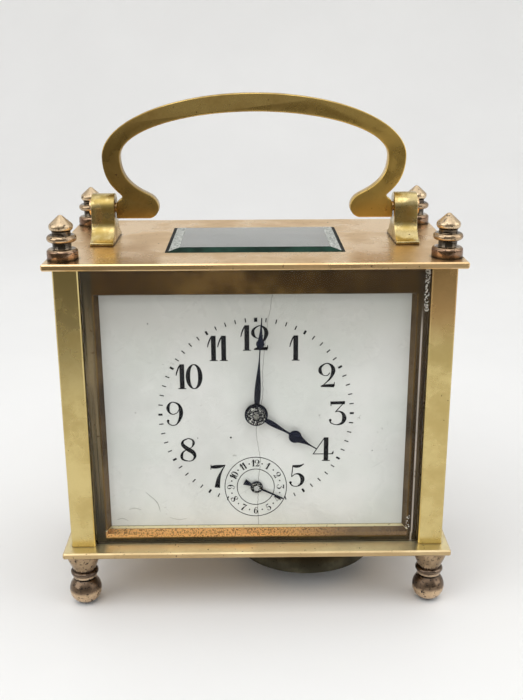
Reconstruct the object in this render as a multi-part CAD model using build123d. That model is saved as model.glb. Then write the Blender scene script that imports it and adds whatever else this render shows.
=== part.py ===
from build123d import *
import os
from math import atan2, cos, degrees, floor, pi, radians, sin

# A brass carriage clock with an alarm, an eight-day movement and a bell under the base.
# Millimetres. X is right, Y is back and Z is up. The origin is on the floor, under the middle of the case.

os.makedirs("parts", exist_ok=True)

# Clearances
fit_gap = 0.1          # between fixed pieces that drop into each other
press_gap = 0.02       # radial, where a piece is pressed on an arbor
running_gap = 0.05     # radial, round every pivot and arbor
end_shake = 0.2        # along an arbor, from the end of its pivot to the outside of its plate
free_gap = 0.4         # between pieces that pass each other
past = 1.0             # how far a cutting shape runs past the face that it cuts

# Case
plate_width = 124.0
plate_depth = 72.0
plate_thickness = 2.0
plate_bevel = 0.4
pillar_side = 7.65
pillar_inset_x = 2.28
pillar_inset_y = 4.37
stud_inset_x = 5.2
stud_inset_y = 8.0
stud_radius = 1.4
stud_length = 6.0

# Feet, from the floor up
foot_height = 19.8
foot_ball_radius = 5.2
foot_ball_flat = 0.25
foot_waist_radius = 3.0
foot_waist_height = 9.6
foot_step_radius = 3.9
foot_step_height = 0.9
foot_ring_radius = 4.5
foot_ring_height = 1.7
foot_neck_radius = 3.6
foot_dish_radius = 5.2
foot_dish_rim = 3.6

# Finials, from the top plate up
finial_base_radius = 4.6
finial_base_height = 3.2
finial_neck_radius = 2.75
finial_ring_radius = 4.4
finial_ring_bottom = 5.3
finial_ring_top = 7.2
finial_bowl_radius = 3.55
finial_bowl_bottom = 8.4
finial_bowl_widest = 9.9
finial_height = 13.1
finial_tip_radius = 0.8
finial_tip_rise = 0.35
finial_base_chamfer = 0.6
finial_bulge_drop = 0.3
finial_shoulder_rise = 0.6
finial_shoulder_inset = 0.25

# Glasses
glass_thickness = 2.4
glass_set_back = 1.05
groove_depth = 1.5
glass_bevel_width = 4.3
glass_bevel_depth = 0.9
glass_bevel_start = 0.01   # keeps the sloping faces off the edge of the pane
window_inset_x = 34.5      # from the top plate's side edges to its window
window_inset_y = 15.5      # from its front and back edges
window_ledge = 2.0
window_glass_edge = 1.6
window_glass_rise = 1.9
window_bevel_start = 0.8
window_bevel_width = 2.5
rail_width = 1.5
rail_lip = 1.5
rail_thickness = 1.0
rail_length = 36.0

# Mask and dial
mask_gap = 0.3             # behind the front glass
mask_depth = 3.3
mask_slope = 1.0
mask_side = 4.4
mask_top = 9.9
mask_bottom = 4.4
dial_thickness = 1.2
dial_margin = 1.2
dial_centre_height = 43.6
alarm_centre_drop = 25.45
dial_foot_radius = 1.0
dial_foot_x = 34.0

# Handle
handle_inset = 9.0         # from the line of the corner studs to the handle's outer edge
handle_band = 5.6
handle_rise = 19.4
handle_springing = 15.9    # height of the arch's springing above the pivot
handle_thickness = 4.4
handle_pivot_height = 10.6
handle_lug_end = 3.8
handle_lug_length = 10.5
handle_lug_drop = 3.3
handle_lug_cheek = 4.2       # height of the lug's flat end
handle_notch = ((0.5, 2.3), (1.6, 2.9))   # in from the lug's end, up from the pivot
handle_cusp = (2.1, 3.8)
handle_tongue = (2.6, 5.2)   # in from the heel, up from the lug's underside
handle_tongue_belly = (2.7, 2.0)
handle_inner_sweep = ((2.0, 6.7), (7.4, 10.9))   # in from the band, down from the springing
handle_outer_sweep = (2.7, 8.9)
handle_pin_radius = 1.5
handle_pin_reach = 6.0
handle_pin_head_radius = 2.5
handle_pin_head_height = 0.8
handle_pin_slot_depth = 0.4
stand_width = 7.3
stand_cap_radius = 4.5
stand_shoulder = 6.3
stand_toe = 10.6
stand_toe_height = 1.0
stand_flare = (6.4, 3.1)

# Rear door
door_thickness = 4.0
door_inset = 0.63          # behind it, to the back of the pillars
door_bar = 6.2
door_side_gap = 0.55
door_end_gap = 0.4
door_glass_bite = 1.2
door_pin_radius = 1.0
door_pin_length = 1.5
door_knob_radius = 3.0
door_knob_neck = 1.6
door_knob_length = 5.0
door_knob_waist = 0.45      # heights as shares of the knob's length
door_knob_widest = 0.75
door_knob_shank_gap = 0.5

# Movement frame
movement_half_width = 41.0
dial_room = 6.38           # from the back of the dial to the front plate
key_room = 15.4            # from the back plate to the front of the door
platform_gap = 3.56        # between the contrate wheel and the platform
head_room = 4.05            # between the balance cock and the top plate
movement_plate = 1.6
movement_pillar_radius = 2.6
movement_pillar_x = 36.0
movement_pillar_low = 5.0
movement_pillar_drop = 6.0   # of the upper pillars, below the platform
movement_collar_rise = 0.7
movement_collar_length = 1.5
movement_corner = 1.5
minute_stud_gap = 1.0      # behind the dial
screw_radius = 1.1
screw_head_radius = 2.0
screw_head_height = 1.2
screw_length = 4.6
screw_slot = 0.5
screw_slot_depth = 0.5

# Shapes of teeth: heights as shares of the module, half widths as shares of one tooth and its gap
tooth_depth = 1.15
tooth_height = 0.85
wheel_root_half = 0.29
wheel_tip_half = 0.10
leaf_root_half = 0.25
leaf_tip_half = 0.09
saw_back_start = 0.1
saw_back_end = 0.6

# Going train. Each wheel runs on its own arbor, from front plate to back plate.
pivot_radius = 0.5
arbor_radius = 0.9
barrel_module = 0.5
barrel_teeth = 80
barrel_drum_radius = 18.5
barrel_wall = 1.2
barrel_angle = 207.2       # direction from the centre arbor, anticlockwise from the right
centre_leaves = 10
centre_teeth = 64
third_leaves = 8
third_angle = 120.0
third_module = 0.4
third_teeth = 60
contrate_leaves = 8
contrate_angle = 18.0
crown_teeth = 70
crown_radius = 11.4
crown_tooth_length = 1.0
crown_tooth_depth = 1.4
escape_leaves = 7
escape_mesh_depth = 0.5
barrel_set_in = 2.4        # from the inside of the front plate
barrel_tooth_width = 2.0
barrel_back_room = 9.0     # this and the next ones: to the inside of the back plate
centre_wheel_room = 8.0
centre_wheel_width = 1.2
third_wheel_room = 5.0
third_wheel_width = 1.0
contrate_set_in = 7.4      # from the inside of the front plate
contrate_disc = 1.0
centre_arbor_radius = 0.8
winding_arbor_radius = 2.0
winding_square = 3.2
setting_square = 1.3
square_reach = 9.5
ratchet_teeth = 18
ratchet_radius = 5.2
ratchet_width = 1.2
ratchet_root = 4.2
click_length = 7.0
click_boss_radius = 1.8
click_pin_radius = 0.8
click_pin_proud = 0.3
click_offset = 1.0         # beyond the ratchet's teeth
click_nose = 1.4
click_shoulders = (0.8, 0.7)   # half widths of the arm at its boss, as shares of the boss's radius
spring_strip = 0.5
spring_inner = 4.2
spring_pitch = 1.4
spring_arc_count = 17

# Crossings of the wheels: rim under the pitch circle, boss radius, number of arms and their width
centre_crossing = (2.4, 3.4, 4, 1.6)
third_crossing = (2.0, 2.6, 4, 1.3)
contrate_crossing = (2.2, 2.4, 4, 1.2)
minute_crossing = (2.6, 2.6, 4, 1.5)
hour_crossing = (2.4, 3.6, 4, 1.6)
alarm_hour_crossing = (2.4, 3.0, 4, 1.6)
escape_crossing = (0.6, 1.1, 3, 0.7)
balance_crossing = (0.9, 1.2, 2, 1.0)
centre_pipe_wall = 0.6
crown_tooth_half = 0.17    # half widths as shares of the crown wheel's pitch
escape_leaf_half = 0.14
escape_leaf_taper = 0.7
crown_inset = 0.03         # keeps the crown teeth inside the disc's edge

# Platform escapement
platform_half_width = 16.5
platform_thickness = 1.6
fine_pivot_radius = 0.3
fine_shake = 0.3           # from the platform's underside to the ends of the lever's and balance's pivots
fine_pivot_reach = 0.5     # above the gap under the bridge
bracket_width = 3.0        # of the bracket under the platform, which carries the escape arbor's foot
bracket_front = 1.2
bracket_arm = (2.4, 3.6)
bracket_thickness = 1.0
bracket_rise = 3.4         # below the top of the contrate wheel
bridge_gap = 0.8
bridge_post = 2.0
bridge_thickness = 0.6
bridge_width = 2.6
bridge_post_width = 3.0
bridge_reach = 1.2
escape_pinion_drop = 1.8
escape_pinion_reach = 0.35
escape_core = 0.45
escape_teeth = 15
escape_radius = 4.2
escape_root = 3.0
escape_height = 1.2
escape_thickness = 0.5
lever_distance = 5.6
lever_body = (2.0, 1.2)
lever_tail_width = 0.6
lever_tail_start = 0.4     # left of the lever's arbor
lever_fork_gap = 2.2       # from the fork's end to the balance staff
pallet_bar = (0.8, 5.4)
pallet_height = 2.4        # from the middle of the lever to the middle of a pallet
pallet_width = 0.6
pallet_overlap = 0.2
balance_distance = 6.4
balance_radius = 7.2
balance_height = 3.2
balance_thickness = 0.8
roller_radius = 1.2
roller_height = 0.8
hairspring_height = 4.6
hairspring_strip = 0.15
hairspring_inner = 1.1
hairspring_pitch = 0.55
hairspring_arc_count = 9
hairspring_width = 0.5
hairspring_stud_radius = 0.35
cock_height = 6.8
cock_thickness = 1.2
cock_width = 6.0
cock_gap = 1.0             # behind the balance
cock_foot = 4.5
cock_eye_radius = 2.2
cock_arm_width = 3.2
cock_stud_arm = (0.8, 0.8)   # past the hairspring's stud, and half the arm's width

# Motion work, between the dial and the front plate
cannon_leaves = 12
minute_teeth = 36
minute_leaves = 15
hour_teeth = 60
hour_set_back = 2.58       # from the back of the dial
hour_width = 1.0
minute_set_back = 4.68
minute_width = 1.0
pinion_margin = 0.3        # how far a motion pinion stands past its wheel
minute_angle = 135.0
cannon_radius = 1.5
hour_pipe_radius = 2.2
hour_hand_lift = 1.72      # from the face of the dial to the front of the hand
minute_hand_lift = 2.72
hand_nut_reach = 0.6
alarm_hand_lift = 0.82
hand_thickness = 0.4
hand_shoulder = (0.62, 0.78)   # out and up from the bulb's centre, as shares of its radius
hand_spike_middle = 0.32
hand_spike_tip = 0.18
minute_hand_angle = 3.3
hour_hand_angle = 121.7
alarm_hand_angle = 116.0
minute_hand_length = 31.8
hour_hand_length = 22.5
alarm_hand_length = 9.5
hour_collet_radius = 3.65
minute_collet_radius = 3.3
alarm_collet_radius = 2.0
minute_bulb = (0.742, 1.3)   # place as a share of the hand's length, and radius
hour_bulb = (0.64, 2.05)
minute_leaf_near = ((2.4, 0.5), (9.0, 0.95))   # along the hand, half width
minute_leaf_far = ((0.5, 0.38), (0.72, 0.3))   # the same, with places as shares of the length
hour_leaf_near = ((2.8, 0.4), (7.6, 0.7))
hour_leaf_far = ((0.53, 0.32), (0.57, 0.4))
alarm_needle = (0.3, 0.16)   # half widths at the collet and at the tip
alarm_tail = ((1.5, 0.25), (4.3, 1.0))
alarm_arbor_reach = 0.8
alarm_pipe_wall = 1.0
alarm_cam_layer = (0.2, 1.0)
alarm_cam_notch = (1.6, 2.4)

# Alarm train
alarm_module = 0.45
alarm_barrel_teeth = 60
strike_leaves = 8
alarm_barrel_x = 17.5
alarm_barrel_z = 15.67
strike_angle = 203.8       # direction from the alarm barrel to the strike wheel
alarm_drum_radius = 12.3
alarm_back_room = 11.0     # to the inside of the back plate
alarm_tooth_width = 1.6
strike_teeth = 15
strike_radius = 6.0
strike_root = 4.6
strike_room = 8.0
strike_width = 1.2
cam_radius = 5.0
hammer_x = -9.9
hammer_z = 9.0
hammer_head_radius = 2.6
hammer_arm_radius = 0.8
hammer_pallet_reach = 6.4
hammer_arm_width = 1.6
hammer_pallet = (1.0, 4.0)
hammer_boss_wall = 1.2
hammer_boss_half = 1.5

# Bell
bell_x = 17.0
bell_radius = 24.0
bell_rim = 15.0            # below the top of the base plate
bell_crown = 3.9
bell_wall = 1.3
bell_post_radius = 3.4
bell_stud_radius = 1.4
bell_nut_radius = 3.0
bell_nut_height = 2.2
bell_nut_saving = 0.4      # how much lower the upper nut is
bell_stud_spare = 0.8
bell_post_gap = 0.2
hammer_level = 12.0
hammer_rest_gap = 1.0
slot_length = 9.0
slot_width = 5.0

# Places that follow from the sizes
deck = foot_height + plate_thickness
window_width = plate_width - 2 * window_inset_x
window_depth = plate_depth - 2 * window_inset_y
stud_x = plate_width / 2 - stud_inset_x
stud_y = plate_depth / 2 - stud_inset_y
pillar_outer_x = plate_width / 2 - pillar_inset_x
pillar_outer_y = plate_depth / 2 - pillar_inset_y
pillar_inner_x = pillar_outer_x - pillar_side
pillar_inner_y = pillar_outer_y - pillar_side
front_glass_back = -(pillar_outer_y - glass_set_back - glass_thickness)
mask_front = front_glass_back + mask_gap
dial_face = mask_front + mask_depth
dial_back = dial_face + dial_thickness
hub_z = deck + dial_centre_height
alarm_z = hub_z - alarm_centre_drop
door_back = pillar_outer_y - door_inset
movement_front = dial_back + dial_room
movement_back = door_back - door_thickness - key_room
plate_inside_front = movement_front + movement_plate
plate_inside_back = movement_back - movement_plate
base_screw_y = (movement_front + movement_back) / 2
barrel_front = plate_inside_front + barrel_set_in
barrel_drum_back = plate_inside_back - barrel_back_room
centre_wheel_front = plate_inside_back - centre_wheel_room
third_wheel_front = plate_inside_back - third_wheel_room
contrate_front = plate_inside_front + contrate_set_in
alarm_drum_back = plate_inside_back - alarm_back_room
strike_front = plate_inside_back - strike_room
hour_layer = dial_back + hour_set_back
minute_layer = dial_back + minute_set_back
hour_hand_layer = dial_face - hour_hand_lift
minute_hand_layer = dial_face - minute_hand_lift
alarm_hand_layer = dial_face - alarm_hand_lift
handle_half_width = stud_x - handle_inset
corners = {
    "front_left": (-1, -1),
    "front_right": (1, -1),
    "back_left": (-1, 1),
    "back_right": (1, 1),
}


def save(shape, node):
    """Write one piece under its node's name."""
    export_step(shape, "parts/" + node + ".step")


def facing(x, y, z):
    """A drawing plane seen from the front: X is right, Y is up, and the normal points forwards."""
    return Plane(origin=(x, y, z), x_dir=(1, 0, 0), z_dir=(0, -1, 0))


def slab(sketch, x, z, y_front, y_back):
    """A flat piece that faces the front, between two depths."""
    return extrude(facing(x, y_back, z) * sketch, amount=y_back - y_front)


def rod(x, z, radius, y_front, y_back):
    """A round bar along Y."""
    return slab(Circle(radius), x, z, y_front, y_back)


def block(x0, x1, y0, y1, z0, z1):
    """A box between two corners."""
    return Pos((x0 + x1) / 2, (y0 + y1) / 2, (z0 + z1) / 2) * Box(x1 - x0, y1 - y0, z1 - z0)


def post(x, y, radius, z0, z1):
    """A round bar along Z."""
    return Pos(x, y, z0) * Cylinder(radius, z1 - z0, align=(Align.CENTER, Align.CENTER, Align.MIN))


def turned(curve, x, y, z):
    """A piece turned about Z from the outline of its right half."""
    return Pos(x, y, z) * revolve(make_face(Plane.XZ * curve), Axis.Z)


def cap_arc(radius, low, high):
    """The right half of a domed end, from its rim to the axis, where it is level."""
    rise = high - low
    sphere = (radius ** 2 + rise ** 2) / (2 * rise)
    half_angle = atan2(radius, sphere - rise) / 2
    middle = (sphere * sin(half_angle), high - sphere + sphere * cos(half_angle))
    return ThreePointArc((radius, low), middle, (0, high))


def away(centre, angle, distance):
    """The point at a distance from a centre, with its angle anticlockwise from the right."""
    return (centre[0] + distance * cos(radians(angle)), centre[1] + distance * sin(radians(angle)))


def meshed(centre_a, phase_a, teeth_a, centre_b, teeth_b):
    """The angle of a tooth of wheel B, so that its teeth stand in the gaps of wheel A."""
    direction = degrees(atan2(centre_b[1] - centre_a[1], centre_b[0] - centre_a[0]))
    turns = (direction - phase_a) * teeth_a / 360
    part = turns - floor(turns)
    return direction + 180 + (part + 0.5) * 360 / teeth_b


def toothed(teeth, module, phase, thin=False):
    """The outline of a spur wheel with straight-sided teeth."""
    root = teeth * module / 2 - tooth_depth * module
    tip = teeth * module / 2 + tooth_height * module
    step = radians(360 / teeth)
    root_half = (leaf_root_half if thin else wheel_root_half) * step
    tip_half = (leaf_tip_half if thin else wheel_tip_half) * step
    points = []
    for index in range(teeth):
        middle = radians(phase) + index * step
        for radius, offset in ((root, -root_half), (tip, -tip_half), (tip, tip_half), (root, root_half)):
            points.append((radius * cos(middle + offset), radius * sin(middle + offset)))
    return Polygon(*points, align=None)


def sawtoothed(teeth, tip, root):
    """The outline of a ratchet or escape wheel with pointed, leaning teeth."""
    step = radians(360 / teeth)
    points = []
    for index in range(teeth):
        start = index * step
        points.append((tip * cos(start), tip * sin(start)))
        for share in (saw_back_start, saw_back_end):
            points.append((root * cos(start + share * step), root * sin(start + share * step)))
    return Polygon(*points, align=None)


def crossed(outline, pitch_radius, crossing):
    """A wheel's outline with the openings between its arms cut out."""
    rim, boss, arms, arm_width = crossing
    rim_inner = pitch_radius - rim
    openings = Circle(rim_inner) - Circle(boss)
    for index in range(arms):
        arm = Pos(rim_inner / 2, 0) * Rectangle(rim_inner + 2 * past, arm_width)
        openings -= Rot(0, 0, index * 360 / arms) * arm
    return outline - openings


def pivoted(x, z, radius):
    """A bar with a pivot at each end, which reach into the two movement plates."""
    body = rod(x, z, radius, plate_inside_front + free_gap, plate_inside_back - free_gap)
    return body + rod(x, z, pivot_radius, movement_front + end_shake, movement_back - end_shake)


def bevelled_pane(width, height, edge, rise, start, run):
    """A pane that lies flat, with its sloping border on top."""
    flat = extrude(Rectangle(width, height), amount=edge)
    low = Pos(0, 0, edge) * Rectangle(width - 2 * start, height - 2 * start)
    high = Pos(0, 0, edge + rise) * Rectangle(width - 2 * start - 2 * run, height - 2 * start - 2 * run)
    return flat + loft([low.face(), high.face()], ruled=True)


def spiral(strip, inner, pitch, arc_count):
    """A flat spiral band made of half circles whose centres change sides."""
    outer_side = []
    inner_side = []
    start = inner
    side = 1
    for index in range(arc_count):
        end = start + pitch / 2
        for path, half in ((outer_side, strip / 2), (inner_side, -strip / 2)):
            here = (side * (start + half), 0)
            there = (-side * (end + half), 0)
            middle = ((here[0] + there[0]) / 2, side * (start + end + 2 * half) / 2)
            path.append(ThreePointArc(here, middle, there))
        start = end
        side = -side
    first = Line(inner_side[0] @ 0, outer_side[0] @ 0)
    last = Line(outer_side[-1] @ 1, inner_side[-1] @ 1)
    return make_face(outer_side + inner_side + [first, last])


def hand(near, far, tip, bulb_place, collet, bore, angle):
    """A clock hand: a leaf from the collet, a round bulb, and a fine point."""
    bulb_at = tip * bulb_place[0]
    bulb = bulb_place[1]
    points = list(near) + [(share * tip, half) for share, half in far]
    right = Spline([(half, up) for up, half in points])
    left = Spline([(-half, up) for up, half in points])
    leaf = make_face([right, left, Line(right @ 0, left @ 0), Line(right @ 1, left @ 1)])
    shoulder = (bulb * hand_shoulder[0], bulb_at + bulb * hand_shoulder[1])
    middle = (shoulder[1] + tip) / 2
    spike_right = Spline([shoulder, (hand_spike_middle, middle), (hand_spike_tip, tip)])
    spike_left = Spline([(-shoulder[0], shoulder[1]), (-hand_spike_middle, middle), (-hand_spike_tip, tip)])
    spike = make_face([
        spike_right, spike_left, Line(spike_right @ 0, spike_left @ 0), Line(spike_right @ 1, spike_left @ 1),
    ])
    outline = Circle(collet) + leaf + Pos(0, bulb_at) * Circle(bulb) + spike
    return Rot(0, 0, -angle) * (outline - Circle(bore))


def screw_up(x, y, z):
    """A slotted screw under a plate at height z, with its shank upwards."""
    head = post(x, y, screw_head_radius, z - screw_head_height, z)
    head -= block(x - screw_head_radius, x + screw_head_radius, y - screw_slot / 2, y + screw_slot / 2,
                  z - screw_head_height, z - screw_head_height + screw_slot_depth)
    return head + post(x, y, screw_radius - fit_gap, z, z + screw_length)


def screw_forward(x, z):
    """A slotted screw in the back plate, with its shank forwards."""
    face = movement_back + screw_head_height
    head = rod(x, z, screw_head_radius, movement_back, face)
    head -= block(x - screw_head_radius, x + screw_head_radius, face - screw_slot_depth, face,
                  z - screw_slot / 2, z + screw_slot / 2)
    return head + rod(x, z, screw_radius - fit_gap, movement_back - screw_length, movement_back)


# Train centres, as (x, z)
hub = (0.0, hub_z)
alarm_hub = (0.0, alarm_z)
barrel_centre = away(hub, barrel_angle, (barrel_teeth + centre_leaves) * barrel_module / 2)
third_centre = away(hub, third_angle, (centre_teeth + third_leaves) * barrel_module / 2)
contrate_centre = away(third_centre, contrate_angle, (third_teeth + contrate_leaves) * third_module / 2)
hour_module = alarm_centre_drop / hour_teeth
minute_distance = (hour_teeth + minute_leaves) * hour_module / 2
minute_module = 2 * minute_distance / (cannon_leaves + minute_teeth)
minute_centre = away(hub, minute_angle, minute_distance)
alarm_barrel_centre = (alarm_barrel_x, deck + alarm_barrel_z)
strike_distance = (alarm_barrel_teeth + strike_leaves) * alarm_module / 2
strike_centre = away(alarm_barrel_centre, strike_angle, strike_distance)
hammer_pivot = (hammer_x, deck + hammer_z)
crown_middle = crown_radius - crown_tooth_length / 2
crown_pitch = 2 * pi * crown_middle / crown_teeth
escape_pinion_radius = crown_pitch * escape_leaves / (2 * pi)
crown_tip = contrate_front + contrate_disc + crown_tooth_depth
escape_tip_radius = escape_pinion_radius + escape_pinion_reach
escape_x = contrate_centre[0]
escape_y = crown_tip - escape_mesh_depth + escape_tip_radius
platform_bottom = contrate_centre[1] + crown_radius + platform_gap
platform_top = platform_bottom + platform_thickness
pillar_top = platform_top + cock_height + cock_thickness + head_room
pillar_length = pillar_top - deck
top = pillar_top + plate_thickness
movement_pillar_high = platform_bottom - deck - movement_pillar_drop
lever_x = escape_x - lever_distance
balance_x = lever_x - balance_distance
bell_level = deck - hammer_level

# Phases, so that every pair is in mesh at rest
centre_phase = 0.0
barrel_phase = meshed(hub, centre_phase, centre_leaves, barrel_centre, barrel_teeth)
third_phase = meshed(hub, centre_phase, centre_teeth, third_centre, third_leaves)
contrate_phase = meshed(third_centre, third_phase, third_teeth, contrate_centre, contrate_leaves)
cannon_phase = 0.0
minute_phase = meshed(hub, cannon_phase, cannon_leaves, minute_centre, minute_teeth)
hour_phase = meshed(minute_centre, minute_phase, minute_leaves, hub, hour_teeth)
alarm_phase = meshed(hub, hour_phase, hour_teeth, alarm_hub, hour_teeth)
strike_phase = meshed(alarm_barrel_centre, 0.0, alarm_barrel_teeth, strike_centre, strike_leaves)


# Case plates and pillars

def case_plate(z):
    """A plain rectangular plate with bevelled edges and a hole for each corner stud."""
    plate = block(-plate_width / 2, plate_width / 2, -plate_depth / 2, plate_depth / 2,
                  z, z + plate_thickness)
    plate = chamfer(plate.edges(), plate_bevel)
    for side_x, side_y in corners.values():
        plate -= post(side_x * stud_x, side_y * stud_y, stud_radius + fit_gap,
                      z - past, z + plate_thickness + past)
    hole = door_pin_radius + running_gap
    return plate - post(door_axis_x, door_axis_y, hole, z - past, z + plate_thickness + past)


door_axis_y = door_back - door_thickness / 2
door_right = pillar_inner_x - door_side_gap
door_axis_x = door_right - door_thickness / 2


def base_plate():
    """The base, with a slot for the hammer and holes for the bell post and two movement screws."""
    plate = case_plate(foot_height)
    slot = block(hammer_x - slot_length / 2, hammer_x + slot_length / 2, -slot_width / 2, slot_width / 2,
                 foot_height - past, deck + past)
    plate -= slot
    plate -= post(bell_x, 0, bell_stud_radius + fit_gap, foot_height - past, deck + past)
    for side in (-1, 1):
        plate -= post(side * movement_pillar_x, base_screw_y, screw_radius, foot_height - past, deck + past)
    return plate


def top_plate():
    """The top, with its window and the two rails that hold the window's glass from below."""
    plate = case_plate(pillar_top)
    plate -= block(-window_width / 2, window_width / 2, -window_depth / 2, window_depth / 2,
                   pillar_top - past, top + past)
    glass_edge = window_width / 2 + window_ledge
    outer = glass_edge + fit_gap + rail_width
    low = pillar_top - window_glass_edge - 2 * fit_gap - rail_thickness
    for side in (-1, 1):
        near, far = sorted((side * (glass_edge - rail_lip), side * outer))
        rail = block(near, far, -rail_length / 2, rail_length / 2, low, pillar_top)
        near, far = sorted((side * (glass_edge - rail_lip), side * (glass_edge + fit_gap)))
        groove = block(near, far, -rail_length, rail_length, low + rail_thickness, pillar_top)
        plate += rail - groove
    return plate


def pillar(side_x, side_y):
    """A square pillar with a groove for the side glass and, in front, one for the front glass."""
    x0, x1 = sorted((side_x * pillar_inner_x, side_x * pillar_outer_x))
    y0, y1 = sorted((side_y * pillar_inner_y, side_y * pillar_outer_y))
    body = block(x0, x1, y0, y1, deck, pillar_top)
    body = chamfer(body.edges().filter_by(Axis.Z), plate_bevel)
    gx0, gx1 = sorted((side_x * (pillar_outer_x - glass_set_back + fit_gap),
                       side_x * (pillar_outer_x - glass_set_back - glass_thickness - fit_gap)))
    gy0, gy1 = sorted((side_y * (pillar_inner_y - past), side_y * (pillar_inner_y + groove_depth)))
    body -= block(gx0, gx1, gy0, gy1, deck - past, pillar_top + past)
    if side_y < 0:
        fx0, fx1 = sorted((side_x * (pillar_inner_x - past), side_x * (pillar_inner_x + groove_depth)))
        front = front_glass_back - glass_thickness - fit_gap
        body -= block(fx0, fx1, front, front_glass_back + fit_gap, deck - past, pillar_top + past)
    hole = stud_radius + fit_gap
    deep = stud_length - plate_thickness + past
    body -= post(side_x * stud_x, side_y * stud_y, hole, deck - past, deck + deep)
    return body - post(side_x * stud_x, side_y * stud_y, hole, pillar_top - deep, pillar_top + past)


def foot(side_x, side_y):
    """A turned foot on a ball, with the stud that holds it to its pillar."""
    ball_z = foot_ball_radius - foot_ball_flat
    flat_r = (foot_ball_radius ** 2 - ball_z ** 2) ** 0.5
    waist_z = ball_z + (foot_ball_radius ** 2 - foot_waist_radius ** 2) ** 0.5
    step_top = foot_waist_height + foot_step_height
    ring_top = step_top + foot_ring_height
    dish_bottom = foot_height - foot_dish_rim
    curve = Polyline((0, foot_height + stud_length), (0, 0), (flat_r, 0))
    curve += ThreePointArc((flat_r, 0), (foot_ball_radius, ball_z), (foot_waist_radius, waist_z))
    curve += Polyline((foot_waist_radius, waist_z), (foot_waist_radius, foot_waist_height),
                      (foot_step_radius, foot_waist_height), (foot_step_radius, step_top))
    curve += ThreePointArc((foot_step_radius, step_top), (foot_ring_radius, (step_top + ring_top) / 2),
                           (foot_neck_radius, ring_top))
    curve += Polyline((foot_neck_radius, ring_top), (foot_dish_radius, dish_bottom),
                      (foot_dish_radius, foot_height), (stud_radius, foot_height),
                      (stud_radius, foot_height + stud_length), (0, foot_height + stud_length))
    return turned(curve, side_x * stud_x, side_y * stud_y, 0)


def finial(side_x, side_y):
    """A turned finial with an acorn top, whose stud holds the top plate to its pillar."""
    ring_middle = (finial_ring_bottom + finial_ring_top) / 2
    curve = Polyline((0, finial_height), (0, -stud_length), (stud_radius, -stud_length), (stud_radius, 0),
                     (finial_base_radius, 0), (finial_base_radius, finial_base_height - finial_base_chamfer),
                     (finial_base_radius - finial_base_chamfer, finial_base_height),
                     (finial_neck_radius, finial_base_height),
                     (finial_neck_radius, finial_ring_bottom))
    curve += ThreePointArc((finial_neck_radius, finial_ring_bottom), (finial_ring_radius, ring_middle),
                           (finial_neck_radius, finial_ring_top))
    curve += Line((finial_neck_radius, finial_ring_top), (finial_neck_radius, finial_bowl_bottom))
    shoulder = (finial_bowl_radius - finial_shoulder_inset, finial_bowl_widest + finial_shoulder_rise)
    tip_low = finial_height - finial_tip_rise
    curve += ThreePointArc((finial_neck_radius, finial_bowl_bottom),
                           (finial_bowl_radius, finial_bowl_widest - finial_bulge_drop), shoulder)
    curve += Line(shoulder, (finial_tip_radius, tip_low))
    curve += cap_arc(finial_tip_radius, tip_low, finial_height)
    return turned(curve, side_x * stud_x, side_y * stud_y, top)


# Glasses, mask and dial

def front_glass():
    """The bevelled front glass, in the grooves of the front pillars."""
    width = 2 * (pillar_inner_x + groove_depth - fit_gap)
    height = pillar_length - 2 * fit_gap
    pane = bevelled_pane(width, height, glass_thickness - glass_bevel_depth, glass_bevel_depth,
                         glass_bevel_start, glass_bevel_width)
    return facing(0, front_glass_back, deck + pillar_length / 2) * pane


def side_glass(side):
    """A bevelled side glass, in the grooves of a front and a back pillar."""
    width = 2 * (pillar_inner_y + groove_depth - fit_gap)
    height = pillar_length - 2 * fit_gap
    pane = bevelled_pane(width, height, glass_thickness - glass_bevel_depth, glass_bevel_depth,
                         glass_bevel_start, glass_bevel_width)
    inside = side * (pillar_outer_x - glass_set_back - glass_thickness)
    plane = Plane(origin=(inside, 0, deck + pillar_length / 2), x_dir=(0, side, 0), z_dir=(side, 0, 0))
    return plane * pane


def top_glass():
    """The bevelled glass of the window, which lies in the rails under the top plate."""
    low = pillar_top - fit_gap - window_glass_edge
    pane = bevelled_pane(window_width + 2 * window_ledge, window_depth + 2 * window_ledge,
                         window_glass_edge, window_glass_rise,
                         window_ledge + window_bevel_start, window_bevel_width)
    return Pos(0, 0, low) * pane


def dial_mask():
    """The mask round the dial, with a sloping inner edge."""
    half = pillar_inner_x - 2 * fit_gap
    low = deck + fit_gap
    high = pillar_top - fit_gap
    body = block(-half, half, mask_front, dial_face, low, high)
    opening_half = half - mask_side
    middle = (deck + mask_bottom + pillar_top - mask_top) / 2
    opening_height = pillar_length - mask_bottom - mask_top
    small = facing(0, dial_face, middle) * Rectangle(2 * opening_half, opening_height)
    large = facing(0, mask_front, middle) * Rectangle(2 * (opening_half + mask_slope),
                                                      opening_height + 2 * mask_slope)
    return body - loft([small.face(), large.face()], ruled=True)


def dial():
    """The dial plate with its two holes, and two feet that stand in the front plate."""
    half = pillar_inner_x - dial_margin
    plate = block(-half, half, dial_face, dial_back, deck + dial_margin, pillar_top - dial_margin)
    plate -= rod(0, hub_z, hour_pipe_radius + free_gap, dial_face - past, dial_back + past)
    plate -= rod(0, alarm_z, arbor_radius + free_gap, dial_face - past, dial_back + past)
    for side in (-1, 1):
        plate += rod(side * dial_foot_x, hub_z, dial_foot_radius, dial_back, movement_front + movement_plate)
    return plate


# Handle and its stands

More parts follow.
